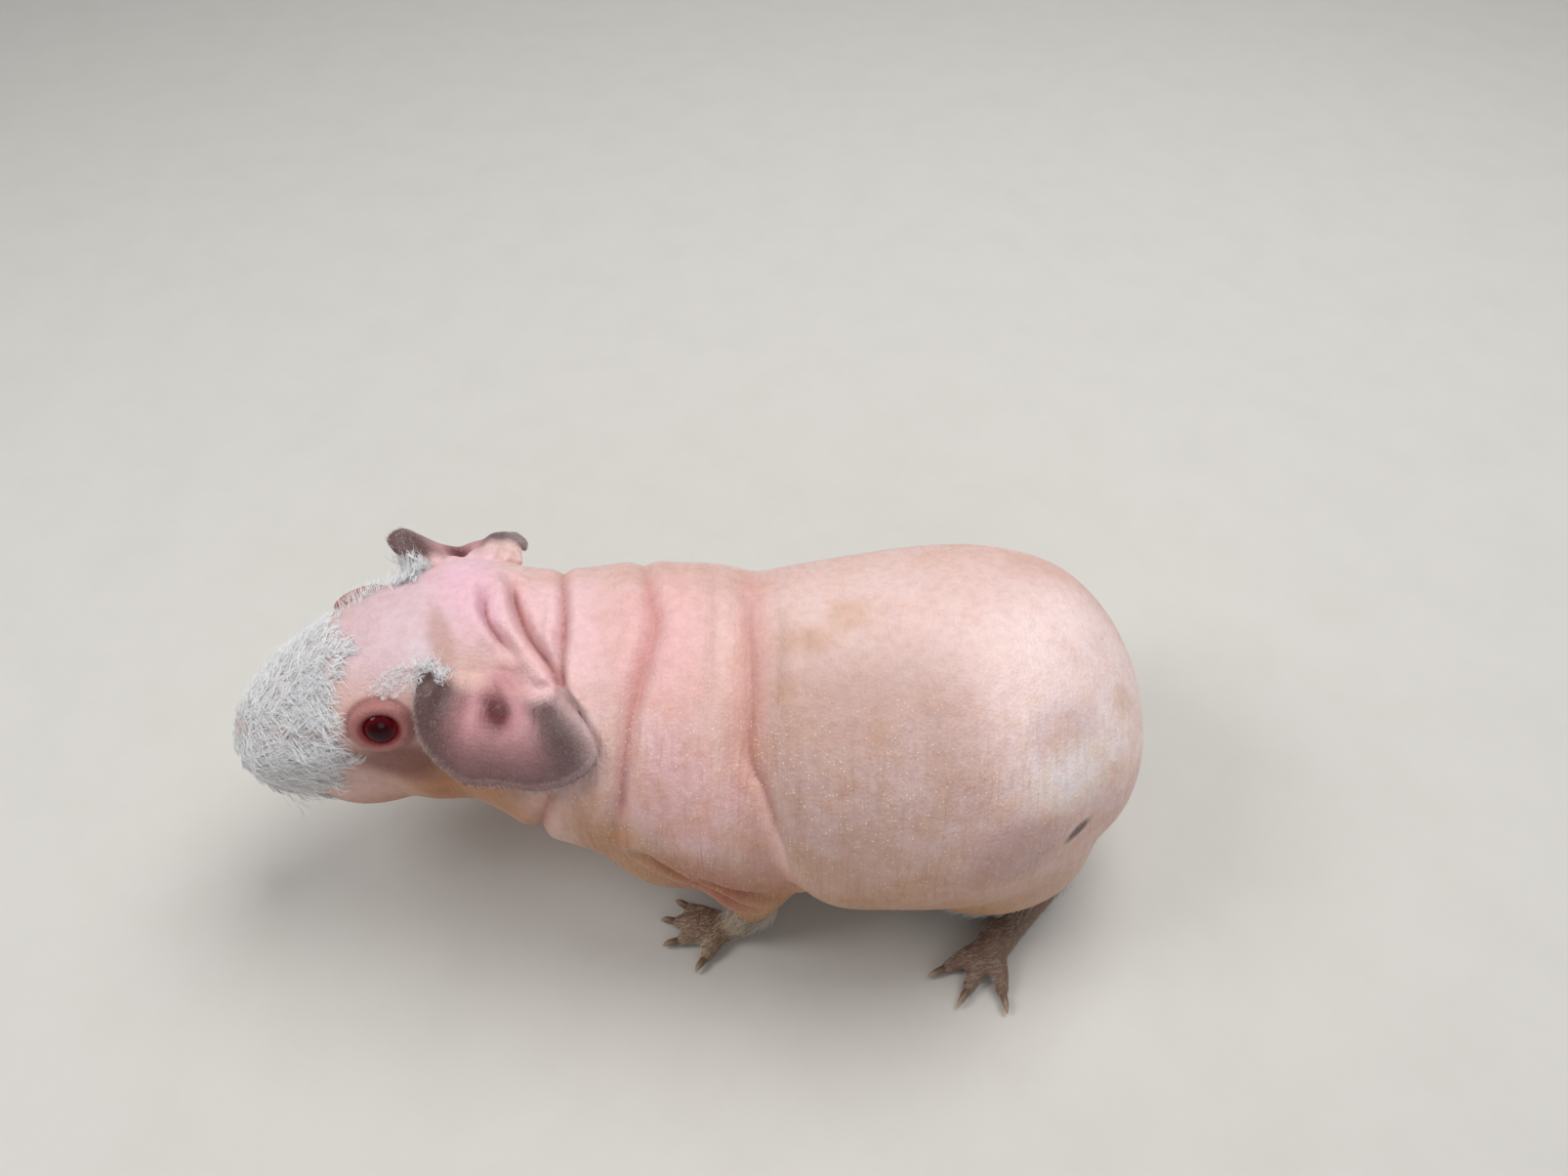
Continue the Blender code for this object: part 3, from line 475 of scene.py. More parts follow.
# The face's tufts: name, areas as middles and radii in the head's own frame, number of tufts and of hairs in
# each, their length, lift, droop and curl.
FACE_TUFTS = {
    "ear_tuft_left": (
        (((0.0240, 0.0180, 0.0165), (0.0048, 0.0060, 0.0055)),),
        (70, 7, 0.0056, 0.80, 0.45, 0.28),
    ),
    "ear_tuft_right": (
        (((0.0235, -0.0160, 0.0175), (0.0048, 0.0072, 0.0060)),),
        (90, 6, 0.0056, 0.95, 0.35, 0.26),
    ),
    "fuzz_left": (
        (((0.0310, 0.0150, 0.0155), (0.0080, 0.0036, 0.0060)),),
        (110, 2, 0.0028, 0.70, 0.35, 0.20),
    ),
    "fuzz_right": (
        (
            ((0.0350, -0.0140, 0.0150), (0.0110, 0.0042, 0.0060)),
            ((0.0250, -0.0135, 0.0180), (0.0070, 0.0040, 0.0060)),
        ),
        (100, 2, 0.0048, 1.25, 0.20, 0.14),
    ),
}

# The stage, and its lights: place, the place each looks at, size, and power as a share of the key light's.
STAGE_COLOUR = from_screen(212, 209, 203)
STAGE_REACH = 4.0
LIGHTS = {
    "overhead": ((0.30, 0.24, 0.94), (0.04, 0.0, 0.04), 0.7, 1.0),
    "front": ((-0.55, -0.10, 0.70), (-0.08, 0.0, 0.05), 0.4, 0.36),
    "window": ((0.10, -0.90, 0.55), (0.0, 0.0, 0.04), 0.5, 0.12),
}


def smooth_rows(rows, count):
    """The rows' values along a Catmull-Rom curve through them, at count places spaced evenly by row."""
    rows = np.asarray(rows, float)
    ends = np.vstack([2 * rows[0] - rows[1], rows, 2 * rows[-1] - rows[-2]])
    place = np.linspace(0, len(rows) - 1, count)
    start = np.minimum(place.astype(int), len(rows) - 2)
    t = (place - start)[:, None]
    a, b, c, d = (ends[start + step] for step in range(4))
    return 0.5 * (2 * b + (c - a) * t + (2 * a - 5 * b + 4 * c - d) * t**2 + (3 * b - a - 3 * c + d) * t**3)


def unit(vectors):
    return vectors / np.maximum(np.linalg.norm(vectors, axis=-1, keepdims=True), 1e-12)


def smooth_step(values, low, high):
    """0 at low and 1 at high, by 3 t squared less 2 t cubed between them."""
    t = np.clip((values - low) / (high - low), 0, 1)
    return t * t * (3 - 2 * t)


def moved(points, place):
    return points @ place[:3, :3].T + place[:3, 3]


def head_frame():
    """From the head's own frame to the source's: the ways forward, left and up, turned left by HEAD_YAW and
    down by HEAD_PITCH, from HEAD_JOINT."""
    level = math.cos(HEAD_PITCH)
    ahead = np.array((-math.cos(HEAD_YAW) * level, -math.sin(HEAD_YAW) * level, -math.sin(HEAD_PITCH)))
    left = np.array((math.sin(HEAD_YAW), -math.cos(HEAD_YAW), 0.0))
    place = np.eye(4)
    place[:3, :3] = np.stack([ahead, left, np.cross(ahead, left)], axis=1)
    place[:3, 3] = HEAD_JOINT
    return place


def side_frame(side):
    """From along X, outward and up to the source's frame, on the body's side."""
    place = np.diag((1.0, -SIDES[side], 1.0, 1.0))
    place[1, 3] = BODY_MIDDLE
    return place


def head_side_frame(side):
    """From forward, outward and up to the source's frame, on the head's side."""
    return head_frame() @ np.diag((1.0, SIDES[side], 1.0, 1.0))


EYE_MIDDLE = moved(np.array(EYE_PLACE), head_side_frame("left"))
EYE_LOW, EYE_HIGH = (np.array(corner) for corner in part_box("eye_left"))
SHIFT = (EYE_LOW + EYE_HIGH) / 2 - EYE_MIDDLE
EYE_RADIUS = float((EYE_HIGH - EYE_LOW).max() / 2)


def in_head(points):
    """The points in the head's own frame."""
    return moved(points, np.linalg.inv(head_frame()))


def in_trunk(points):
    """Each point's place along X, and its turn from the top of the trunk's middle, left side positive."""
    rows = np.array(TRUNK_SECTIONS)[::-1]
    side = points[:, 1] - np.interp(points[:, 0], rows[:, 0], rows[:, 1])
    up = points[:, 2] - np.interp(points[:, 0], rows[:, 0], rows[:, 2])
    return points[:, 0], np.arctan2(-side, up)


def volume(points, faces):
    """Six times the volume inside, by the triple products of fans of each face; negative inside out."""
    total = 0.0
    for polygons in faces:
        for step in range(1, polygons.shape[1] - 1):
            a, b, c = (points[polygons[:, corner]] for corner in (0, step, step + 1))
            total += np.einsum("ij,ij->", a, np.cross(b, c))
    return total


def closed_shapes(grids):
    """Closed tubes from grids of rings of points, with quads from ring to ring and a fan at each end."""
    count, rings, sides, _ = grids.shape
    poles = grids[:, (0, -1)].mean(axis=2)
    points = np.concatenate([grids.reshape(count, -1, 3), poles], axis=1)
    each = rings * sides + 2
    around = np.arange(sides)
    after = (around + 1) % sides
    ring = np.arange(rings - 1)[:, None] * sides
    beyond = ring + sides
    quads = np.stack([ring + around, ring + after, beyond + after, beyond + around], -1).reshape(-1, 4)
    last = (rings - 1) * sides
    first_fan = np.stack([after, around, np.full(sides, each - 2)], -1)
    last_fan = np.stack([last + around, last + after, np.full(sides, each - 1)], -1)
    fans = np.concatenate([first_fan, last_fan])
    if volume(points[0], [quads, fans]) < 0:
        quads, fans = quads[:, ::-1], fans[:, ::-1]
    starts = np.arange(count)[:, None, None] * each
    return points.reshape(-1, 3), [(quads + starts).reshape(-1, 4), (fans + starts).reshape(-1, 3)]


def joined(shapes):
    """All the shapes' points in one list, with their faces counted on from shape to shape."""
    points, faces, start = [], [], 0
    for shape_points, shape_faces in shapes:
        points.append(shape_points)
        faces += [polygons + start for polygons in shape_faces]
        start += len(shape_points)
    return np.concatenate(points), faces


def new_mesh(name, points, faces):
    mesh = bpy.data.meshes.new(name)
    loops = np.concatenate([polygons.ravel() for polygons in faces])
    sizes = np.concatenate([np.full(len(polygons), polygons.shape[1]) for polygons in faces])
    mesh.vertices.add(len(points))
    mesh.vertices.foreach_set("co", points.ravel())
    mesh.loops.add(len(loops))
    mesh.loops.foreach_set("vertex_index", loops)
    mesh.polygons.add(len(sizes))
    mesh.polygons.foreach_set("loop_start", np.cumsum(sizes) - sizes)
    mesh.update(calc_edges=True)
    return mesh


def new_piece(name, mesh):
    piece = bpy.data.objects.new(name, mesh)
    bpy.context.scene.collection.objects.link(piece)
    return piece


def arrays(mesh):
    """The mesh's points, outward normals and edges."""
    points = np.empty(len(mesh.vertices) * 3)
    mesh.vertices.foreach_get("co", points)
    normals = np.empty(len(mesh.vertices) * 3)
    mesh.vertices.foreach_get("normal", normals)
    edges = np.empty(len(mesh.edges) * 2, int)
    mesh.edges.foreach_get("vertices", edges)
    return points.reshape(-1, 3), normals.reshape(-1, 3), edges.reshape(-1, 2)


def set_points(mesh, points):
    mesh.vertices.foreach_set("co", points.ravel())
    mesh.update()


def apply_modifiers(piece):
    bpy.context.view_layer.update()
    solid = bpy.data.meshes.new_from_object(piece.evaluated_get(bpy.context.evaluated_depsgraph_get()))
    piece.modifiers.clear()
    old = piece.data
    piece.data = solid
    bpy.data.meshes.remove(old)


def fuse(piece, grid):
    """One closed skin, on a grid of this size, round all that the piece's mesh holds."""
    remesh = piece.modifiers.new("one skin", "REMESH")
    remesh.mode = "VOXEL"
    remesh.voxel_size = grid
    apply_modifiers(piece)


def loft(sections, rings, sides, place):
    """A grid over sections of unlike size. Each is an ellipse whose upper and lower halves differ in height:
    its points stand at the centre plus the half width times the cosine and the rise or drop times the sine of
    the turn."""
    rows = smooth_rows(sections, rings)
    turn = np.linspace(0, 2 * math.pi, sides, endpoint=False)
    tall = np.where(np.sin(turn) > 0, rows[:, 4:5], rows[:, 5:6])
    across = rows[:, 1:2] + rows[:, 3:4] * np.cos(turn)
    height = rows[:, 2:3] + tall * np.sin(turn)
    along = np.repeat(rows[:, 0:1], sides, axis=1)
    return moved(np.stack([along, across, height], axis=-1), place)[None]


def ball(middle, radii, place, around=40):
    """A grid of rings round the last axis: the sine of the ring's angle times the turn's cosine and sine, and
    the angle's cosine, each times its radius."""
    down = np.linspace(POLE_TURN, math.pi - POLE_TURN, around // 2)[:, None]
    turn = np.linspace(0, 2 * math.pi, around, endpoint=False)
    wide = np.sin(down)
    shape = np.stack([wide * np.cos(turn), wide * np.sin(turn), np.cos(down) + 0 * turn], axis=-1)
    return moved(np.array(middle) + shape * np.array(radii), place)[None]


def carried(paths, radii, toward, sides):
    """Rings carried along paths. Each stands square to its path: one of its axes is the way toward, less what
    lies along the path, and the other is square to both."""
    ways = unit(np.gradient(paths, axis=-2))
    first = unit(toward - (toward * ways).sum(axis=-1, keepdims=True) * ways)
    second = np.cross(ways, first)
    turn = np.linspace(0, 2 * math.pi, sides, endpoint=False)[:, None]
    rings = np.cos(turn) * first[..., None, :] + np.sin(turn) * second[..., None, :]
    return paths[..., None, :] + radii[..., None, None] * rings


def limb(stops, toward, place, grid=LIMB_GRID):
    """A tapered tube through the stops, each a point and a radius, with a ball on each end."""
    steps, sides = grid
    rows = smooth_rows(stops, steps * (len(stops) - 1) + 1)
    tube = carried(rows[None, :, :3], rows[None, :, 3], np.array(toward), sides)
    ends = [ball(stop[:3], (stop[3],) * 3, place, 20) for stop in (stops[0], stops[-1])]
    return [moved(tube, place), *ends]


def toe_line(bones, turn, length):
    """The middle of the paw, a toe's way from it and the toe's tip."""
    root = np.array(bones[-1][:3])
    away = np.array((-math.cos(math.radians(turn)), math.sin(math.radians(turn)), 0.0))
    tip = root + away * length
    tip[2] = TOE_TIP_RADIUS
    return root, away, tip


def toes(bones, toe_rows, place):
    found = []
    for turn, length in toe_rows:
        root, away, tip = toe_line(bones, turn, length)
        knuckle = root + away * length * KNUCKLE_SHARE + np.array((0.0, 0.0, KNUCKLE_RISE))
        tip = tip - np.array((0.0, 0.0, TOE_SINK))
        stops = ((*root, TOE_ROOT_RADIUS), (*knuckle, TOE_RADIUS), (*tip, TOE_TIP_RADIUS))
        found += limb(stops, (0.0, 0.0, 1.0), place, TOE_GRID)
    return found


def body_grids():
    found = [loft(TRUNK_SECTIONS, *TRUNK_GRID, np.eye(4)), loft(HEAD_SECTIONS, *HEAD_GRID, head_frame())]
    for side in SIDES:
        for middle, radii in HEAD_MASSES.values():
            found.append(ball(middle, radii, head_side_frame(side)))
        for middle, radii in BODY_MASSES.values():
            found.append(ball(middle, radii, side_frame(side)))
        for bones, toe_rows in FEET.values():
            found += limb(bones, (0.6, 0.8, 0.0), side_frame(side))
            found += toes(bones, toe_rows, side_frame(side))
    return found


def eye_axes(side):
    """The eye's middle and its axes as columns, across the head, up the eye and along the look, and in the
    frame of the source."""
    look = unit(np.array(EYE_LOOK))
    across = unit(np.cross((0.0, 0.0, 1.0), look))
    turn = np.stack([across, np.cross(look, across), look], axis=1)
    place = head_side_frame(side)
    return moved(np.array(EYE_PLACE), place), place[:3, :3] @ turn


def lid_grid(side):
    """The ring of the eyelids: a tube carried round an ellipse, lifted along the look."""
    middle, axes = eye_axes(side)
    turn = np.linspace(0, 2 * math.pi, 73)
    wide, tall = LID_RADII
    flat = np.stack([wide * np.cos(turn), tall * np.sin(turn), np.full(len(turn), LID_LIFT)], axis=-1)
    ring = middle + flat @ axes.T
    return carried(ring[None], np.full((1, len(turn)), LID_THICKNESS / 2), axes[:, 2], 14)


def ear_sheet(side, across, out):
    """The ear's sheet as a grid: from its root to its edge, arched between them, curled at the edge, with a
    pit at the canal and pleats that run out from it. All of them are rises along EAR_UP, of the place across
    and out."""
    root = smooth_rows(EAR_ROOT[side], across)[None]
    edge = smooth_rows(EAR_EDGE[side], across)[None]
    u = np.linspace(0, 1, across)[None, :, None]
    v = np.linspace(0, 1, out)[:, None, None]
    rise = EAR_ARCH * np.sin(math.pi * v) + EAR_CURL * np.interp(v, (EAR_CURL_START, 1), (0, 1)) ** 2
    pit_u, pit_v, wide, tall, pit = CANAL_PIT
    rise = rise - pit * np.exp(-(((u - pit_u) / wide) ** 2) - ((v - pit_v) / tall) ** 2)
    height, number, reach = EAR_PLEATS
    within = smooth_step(v, reach + 0.3, reach - 0.3)
    rise = rise + height * np.sin(2 * math.pi * number * (u + 0.05 * v)) * within
    points = root + (edge - root) * v + rise * np.array(EAR_UP)
    return moved(points, head_side_frame(side))


def ear_grid(side):
    """The ear with its thickness: each line across the sheet becomes a ring, out along its upper face and back
    along its lower one, half the thickness off the sheet along its normal and drawn together at the edge."""
    sheet = ear_sheet(side, *EAR_GRID)
    normal = unit(np.cross(np.gradient(sheet, axis=1), np.gradient(sheet, axis=0)))
    out = np.linspace(0, 1, EAR_GRID[1])[:, None, None]
    half = EAR_THICKNESS / 2 * np.sqrt(np.clip(1 - smooth_step(out, 0.9, 1.06) ** 2, 0.02, 1))
    ring = np.concatenate([sheet + normal * half, (sheet - normal * half)[::-1]])
    return ring.transpose(1, 0, 2)[None]


def relax(mesh, share, turns):
    """Draws each point towards the mean of its neighbours by its share, over and over."""
    points, _, edges = arrays(mesh)
    count = len(points)
    ends = np.concatenate([edges, edges[:, ::-1]])
    neighbours = np.bincount(ends[:, 0], minlength=count)
    for _ in range(turns):
        sums = [np.bincount(ends[:, 0], points[ends[:, 1], axis], count) for axis in range(3)]
        points += share[:, None] * (np.stack(sums, axis=1) / neighbours[:, None] - points)
    set_points(mesh, points)


def line_distance(points, line):
    """Each point's distance to the line through the stops."""
    nearest = np.full(len(points), np.inf)
    for start, end in zip(line, line[1:]):
        way = end - start
        along = np.clip((points - start) @ way / (way @ way), 0, 1)
        nearest = np.minimum(nearest, np.linalg.norm(points - start - along[:, None] * way, axis=1))
    return nearest


def keenness(width):
    """How sharp the bottom of a fold is: 1 for a narrow one, and less by the square of its width."""
    return min(1.0, (NARROW_FOLD / width) ** 2)


def groove(distance, depth, width, roll):
    """A groove by a bell curve of the distance over the width, with a sharp fall in the middle of a narrow
    one, and a low roll on both sides."""
    (share, narrow), (far, wide) = SHARP_MIDDLE, ROLL_BESIDE
    keen = share * keenness(width)
    middle = (1 - keen) * np.exp(-((distance / width) ** 2)) + keen * np.exp(-distance / (narrow * width))
    return depth * (middle - roll * np.exp(-(((distance - far * width) / (wide * width)) ** 2)))


def fold_depth(points, folds, sharpness):
    """How deep the folds round the trunk lie at each point, and how near a deep one's bottom it is, 0 to 1."""
    x, turn = in_trunk(points)
    unrolled = np.stack([x, FOLD_RADIUS * turn], axis=1)
    depth, crease = np.zeros(len(points)), np.zeros(len(points))
    for deep, width, stops in folds.values():
        line = np.array([(place, FOLD_RADIUS * math.radians(degrees)) for degrees, place in stops])
        line = smooth_rows(line, 6 * len(line))
        low, high = line.min(axis=0) - 6 * width, line.max(axis=0) + 6 * width
        near = np.flatnonzero(((unrolled > low) & (unrolled < high)).all(axis=1))
        distance = line_distance(unrolled[near], line)
        ends = np.minimum(*(np.linalg.norm(unrolled[near] - line[end], axis=1) for end in (0, -1)))
        fade = np.interp(ends, (0, FOLD_FADE), (FOLD_END_SHARE, 1))
        depth[near] += groove(distance, deep, width * sharpness, FOLD_ROLL) * fade
        bottom = min(deep / DEEP_FOLD, 1) * keenness(width) * fade * np.exp(-distance / CREASE_WIDTH)
        crease[near] = np.maximum(crease[near], bottom)
    calm = np.interp(turn, np.radians(FOLD_CALM), (FOLD_FAR_SHARE, 1.0))
    calm = calm * np.interp(points[:, 2], FOLD_HEIGHTS, (0, 1))
    return depth * calm, crease * calm


def face_depth(points):
    """How deep the lines of the face lie at each point."""
    local = in_head(points)
    depth = np.zeros(len(points))
    for deep, width, stops in FACE_LINES.values():
        for mirror in SIDES.values():
            line = smooth_rows(np.array(stops) * (1, mirror, 1), 6 * len(stops))
            pressed = groove(line_distance(local, line), deep, width, FACE_ROLL)
            depth = np.where(np.abs(pressed) > np.abs(depth), pressed, depth)
    return depth


def sink_sockets(points):
    """Draws the skin between the lids inside the eye's ball, to SOCKET_SHARE of its radius."""
    for side in SIDES:
        middle, axes = eye_axes(side)
        local = (points - middle) @ axes
        off = np.sqrt((local[:, 0] / SOCKET_OPENING[0]) ** 2 + (local[:, 1] / SOCKET_OPENING[1]) ** 2)
        close = np.linalg.norm(local, axis=1) < 2 * EYE_RADIUS
        inside = (local[:, 2] > 0) * smooth_step(off, 1.08, 0.92) * close
        target = middle + unit(points - middle) * EYE_RADIUS * SOCKET_SHARE
        points = points + inside[:, None] * (target - points)
    return points


def near_ears(points):
    """Each point's distance to the nearer ear's sheet, and its place across and out along it."""
    distance = np.full(len(points), np.inf)
    places = np.zeros((len(points), 2))
    across, out = EAR_SEARCH_GRID
    u, v = np.meshgrid(np.linspace(0, 1, across), np.linspace(0, 1, out))
    grid = np.stack([u.ravel(), v.ravel()], axis=1)
    for side in SIDES:
        sheet = ear_sheet(side, across, out).reshape(-1, 3)
        low, high = sheet.min(axis=0) - EAR_MARGIN, sheet.max(axis=0) + EAR_MARGIN
        close = np.flatnonzero(((points > low) & (points < high)).all(axis=1))
        for part in np.array_split(close, 1 + len(close) // SEARCH_BATCH):
            square = (points[part] ** 2).sum(axis=1)[:, None] + (sheet**2).sum(axis=1)
            apart = square - 2 * points[part] @ sheet.T
            best = apart.argmin(axis=1)
            least = np.sqrt(np.maximum(apart[np.arange(len(part)), best], 0))
            nearer = least < distance[part]
            distance[part[nearer]] = least[nearer]
            places[part[nearer]] = grid[best[nearer]]
    return distance, places


def blended(under, over, share):
    return under + share[:, None] * (np.array(over) - under)


def waist_distance(x, turn):
    """How far behind the waist's edge each place along the trunk lies, for turns in degrees."""
    return x - np.interp(turn, *WAIST_LINE)


def tint_at(points):
    """The skin's colour at each point: pink, then each marking over the one before, as strong as its strength
    at its middle and fading to nothing at its radii, then grooves, ears and feet. Some markings, the colours
    beside the waist's edge, the grooves' darkening and the line in the lids' fold are painted light and shade."""
    x, turn = in_trunk(points)
    trunk = np.stack([x, np.degrees(turn), x + SLANT * np.degrees(turn)], axis=1)
    head = in_head(points)
    ahead = smooth_step(head[:, 0], HEAD_START, 0.008)
    tint = np.tile(PINK, (len(points), 1))
    for kind, place, within in (("trunk", trunk, 1 - ahead), ("head", head, ahead)):
        for middle, radii, colour, strength in MARKINGS[kind].values():
            off = np.linalg.norm((place - middle) / radii, axis=1)
            tint = blended(tint, from_screen(*colour), strength * within * smooth_step(off, 1.0, 0.35))
    # A painted highlight on the rise ahead of the waist's edge and painted shade in the hollow behind it.
    past = waist_distance(x, trunk[:, 1])
    start, full, fading, end = WAIST_TURNS
    around = smooth_step(trunk[:, 1], start, full) * smooth_step(trunk[:, 1], end, fading) * (1 - ahead)
    for (colour, strength, reach), way in zip(WAIST_LIGHT_AND_SHADE, (-1, 1)):
        over = smooth_step(way * past, -WAIST_EDGE, WAIST_EDGE)
        tint = blended(tint, colour, strength * around * over * np.exp(-np.abs(past) / reach))
    # Painted shade in the folds and creases: rosier and darker over each groove, darkest at a deep one's
    # bottom.
    for folds in (FOLDS, CREASES):
        depth, crease = fold_depth(points, folds, 1.0)
        tint = blended(tint, CREASE_ROSE_AND_SHADE, 0.30 * smooth_step(depth, 0.0002, 0.0020))
        tint = blended(tint, CREASE_PAINTED_SHADE, 0.75 * crease)
    for side in SIDES:
        middle, axes = eye_axes(side)
        local = (points - middle) @ axes
        ring = np.hypot(local[:, 0] / LID_RADII[0], local[:, 1] / LID_RADII[1])
        close = smooth_step(np.linalg.norm(local, axis=1), 0.0150, 0.0110) * (local[:, 2] > 0)
        tint = blended(tint, LID_PALE, close * smooth_step(ring, 1.75, 1.25))
        tint = blended(tint, LID_RED, 0.8 * close * smooth_step(ring, 1.00, 0.84))
        # Painted shade in the lids' fold.
        tint = blended(tint, LID_CREASE_SHADE, 0.55 * close * np.exp(-(((ring - 1.42) / 0.09) ** 2)))
    apart, places = near_ears(points)
    u, v = places.T
    ear = np.tile(TAUPE, (len(points), 1))
    centre = smooth_step(np.abs(u - 0.53 + 0.10 * v), 0.26, 0.10)
    ear = blended(ear, EAR_PINK, centre * smooth_step(v, 1.05, 0.35))
    ear = blended(ear, EAR_PALE, np.where(head[:, 1] > 0, 0.9, 0.3) * smooth_step(u + 0.12 * v, 0.80, 0.98))
    ear = blended(ear, EAR_PALE, 0.35 * smooth_step(v, 0.90, 1.0))
    # Red and dark in the canal's pit: red skin with painted shade in the hollow.
    pit = np.hypot((u - CANAL_PIT[0] + 0.08 * (v - CANAL_PIT[1])) / 0.085, (v - CANAL_PIT[1] - 0.04) / 0.20)
    ear = blended(ear, PIT_RED_AND_SHADE, 0.95 * smooth_step(pit, 1.4, 0.4))
    start = np.interp(u, (0, 0.25, 0.5, 1), (0.02, 0.02, 0.05, 0.30))
    shown = smooth_step(apart, 0.0032, 0.0014) * smooth_step(v, start, start + 0.22)
    tint = tint + shown[:, None] * (ear - tint)
    return blended(tint, FOOT_BROWN, 0.85 * smooth_step(points[:, 2], 0.020, 0.007))


def set_colours(mesh, name, colours):
    """A colour for each point, kept under this name."""
    layer = mesh.attributes.new(name, "FLOAT_COLOR", "POINT")
    layer.data.foreach_set("color", np.column_stack([colours, np.ones(len(colours))]).ravel())


def wire(made, values):
    """Gives each of the node's inputs a value or another node's output."""
    for name, value in values.items():
        if isinstance(value, bpy.types.NodeSocket):
            made.id_data.links.new(value, made.inputs[name])
        else:
            made.inputs[name].default_value = value


def node(tree, kind, values=None, **settings):
    """Adds a node with these settings and inputs."""
    made = tree.nodes.new(kind)
    for name, value in settings.items():
        setattr(made, name, value)
    wire(made, values or {})
    return made


def worked(tree, operation, first, second):
    """The sum, product or other result of two values."""
    return node(tree, "ShaderNodeMath", {0: first, 1: second}, operation=operation).outputs[0]


def ranged(tree, value, low, high, to_low=0.0, to_high=1.0):
    """The value's place from low to high, carried to the second range."""
    values = {"Value": value, "From Min": low, "From Max": high, "To Min": to_low, "To Max": to_high}
    return node(tree, "ShaderNodeMapRange", values).outputs["Result"]


def mixed(tree, share, under, over, blend="MIX"):
    """One colour over another."""
    values = {"Factor": share, 6: under, 7: over}
    return node(tree, "ShaderNodeMix", values, data_type="RGBA", blend_type=blend).outputs[2]


def object_place(tree):
    return node(tree, "ShaderNodeTexCoord").outputs["Object"]


def kept_colour(tree, name):
    """The colours that set_colours keeps under this name."""
    return node(tree, "ShaderNodeAttribute", attribute_name=name).outputs["Color"]


def new_group(name, inputs, output, kind):
    """A node group, and its ends. The inputs are names and values; the one output has this name and kind."""
    group = bpy.data.node_groups.new(name, "ShaderNodeTree")
    for label, value in inputs.items():
        socket = "NodeSocketFloat" if isinstance(value, float) else "NodeSocketColor"
        group.interface.new_socket(label, in_out="INPUT", socket_type=socket).default_value = value
    group.interface.new_socket(output, in_out="OUTPUT", socket_type=kind)
    return group, group.nodes.new("NodeGroupInput").outputs, group.nodes.new("NodeGroupOutput")


def mottling_group():
    """A colour made darker in soft blotches."""
    inputs = {"Colour": (1.0, 1.0, 1.0, 1.0), "Dark": (0.7, 0.55, 0.5, 1.0), "Scale": 100.0, "Amount": 0.5}
    group, given, end = new_group("mottling", inputs, "Colour", "NodeSocketColor")
    values = {"Vector": object_place(group), "Scale": given["Scale"], "Detail": 7.0, "Roughness": 0.62}
    noise = node(group, "ShaderNodeTexNoise", values).outputs["Fac"]
    share = worked(group, "MULTIPLY", ranged(group, noise, 0.42, 0.68), given["Amount"])
    wire(end, {"Colour": mixed(group, share, given["Colour"], given["Dark"], "MULTIPLY")})
    return group


def flecks_group():
    """A mask of small specks: the middles of some cells of a pattern of random cells."""
    inputs = {"Scale": 600.0, "Share": 0.3, "Size": 0.25}
    group, given, end = new_group("flecks", inputs, "Mask", "NodeSocketFloat")
    values = {"Vector": object_place(group), "Scale": given["Scale"]}
    cells = node(group, "ShaderNodeTexVoronoi", values).outputs
    chance = node(group, "ShaderNodeSeparateColor", {"Color": cells["Color"]}).outputs[0]
    chosen = worked(group, "LESS_THAN", chance, given["Share"])
    inside = ranged(group, cells["Distance"], given["Size"], 0.05)
    wire(end, {"Mask": worked(group, "MULTIPLY", inside, chosen)})
    return group


def wrinkles_group():
    """A height: fine lines that run round the body, pores and low lumps."""
    inputs = {"Lines": 0.5, "Pores": 0.3, "Lumps": 0.5}
    group, given, end = new_group("wrinkles", inputs, "Height", "NodeSocketFloat")
    place = object_place(group)
    across = {"Vector": place, "Scale": (620.0, 60.0, 70.0), "Rotation": (0.0, 0.15, 0.0)}
    stretched = node(group, "ShaderNodeMapping", across).outputs[0]
    fine = {"Vector": stretched, "Scale": 1.0, "Detail": 3.0, "Roughness": 0.5, "Distortion": 0.8}
    lines = node(group, "ShaderNodeTexNoise", fine).outputs["Fac"]
    cells = {"Vector": place, "Scale": 1500.0}
    pores = node(group, "ShaderNodeTexVoronoi", cells, feature="SMOOTH_F1").outputs["Distance"]
    lumps = node(group, "ShaderNodeTexNoise", {"Vector": place, "Scale": 260.0, "Detail": 3.0}).outputs["Fac"]
    height = worked(group, "MULTIPLY", lines, given["Lines"])
    for source, name in ((pores, "Pores"), (lumps, "Lumps")):
        height = worked(group, "ADD", height, worked(group, "MULTIPLY", source, given[name]))
    wire(end, {"Height": height})
    return group


def shared_group(tree, name, values):
    """A node of the group of this name, which is made when it is first asked for."""
    makers = {"mottling": mottling_group, "flecks": flecks_group, "wrinkles": wrinkles_group}
    group = bpy.data.node_groups.get(name) or makers[name]()
    return node(tree, "ShaderNodeGroup", values, node_tree=group).outputs[0]


def mottled(tree, colour, scale, dark=(0.7, 0.55, 0.5, 1.0), amount=0.5):
    """The colour, darker in blotches of this scale."""
    return shared_group(tree, "mottling", {"Colour": colour, "Dark": dark, "Scale": scale, "Amount": amount})


def new_material(name):
    material = bpy.data.materials.new(name)
    material.use_nodes = True
    return material, material.node_tree, material.node_tree.nodes["Principled BSDF"]


def shared_material(name, maker):
    return bpy.data.materials.get(name) or maker()


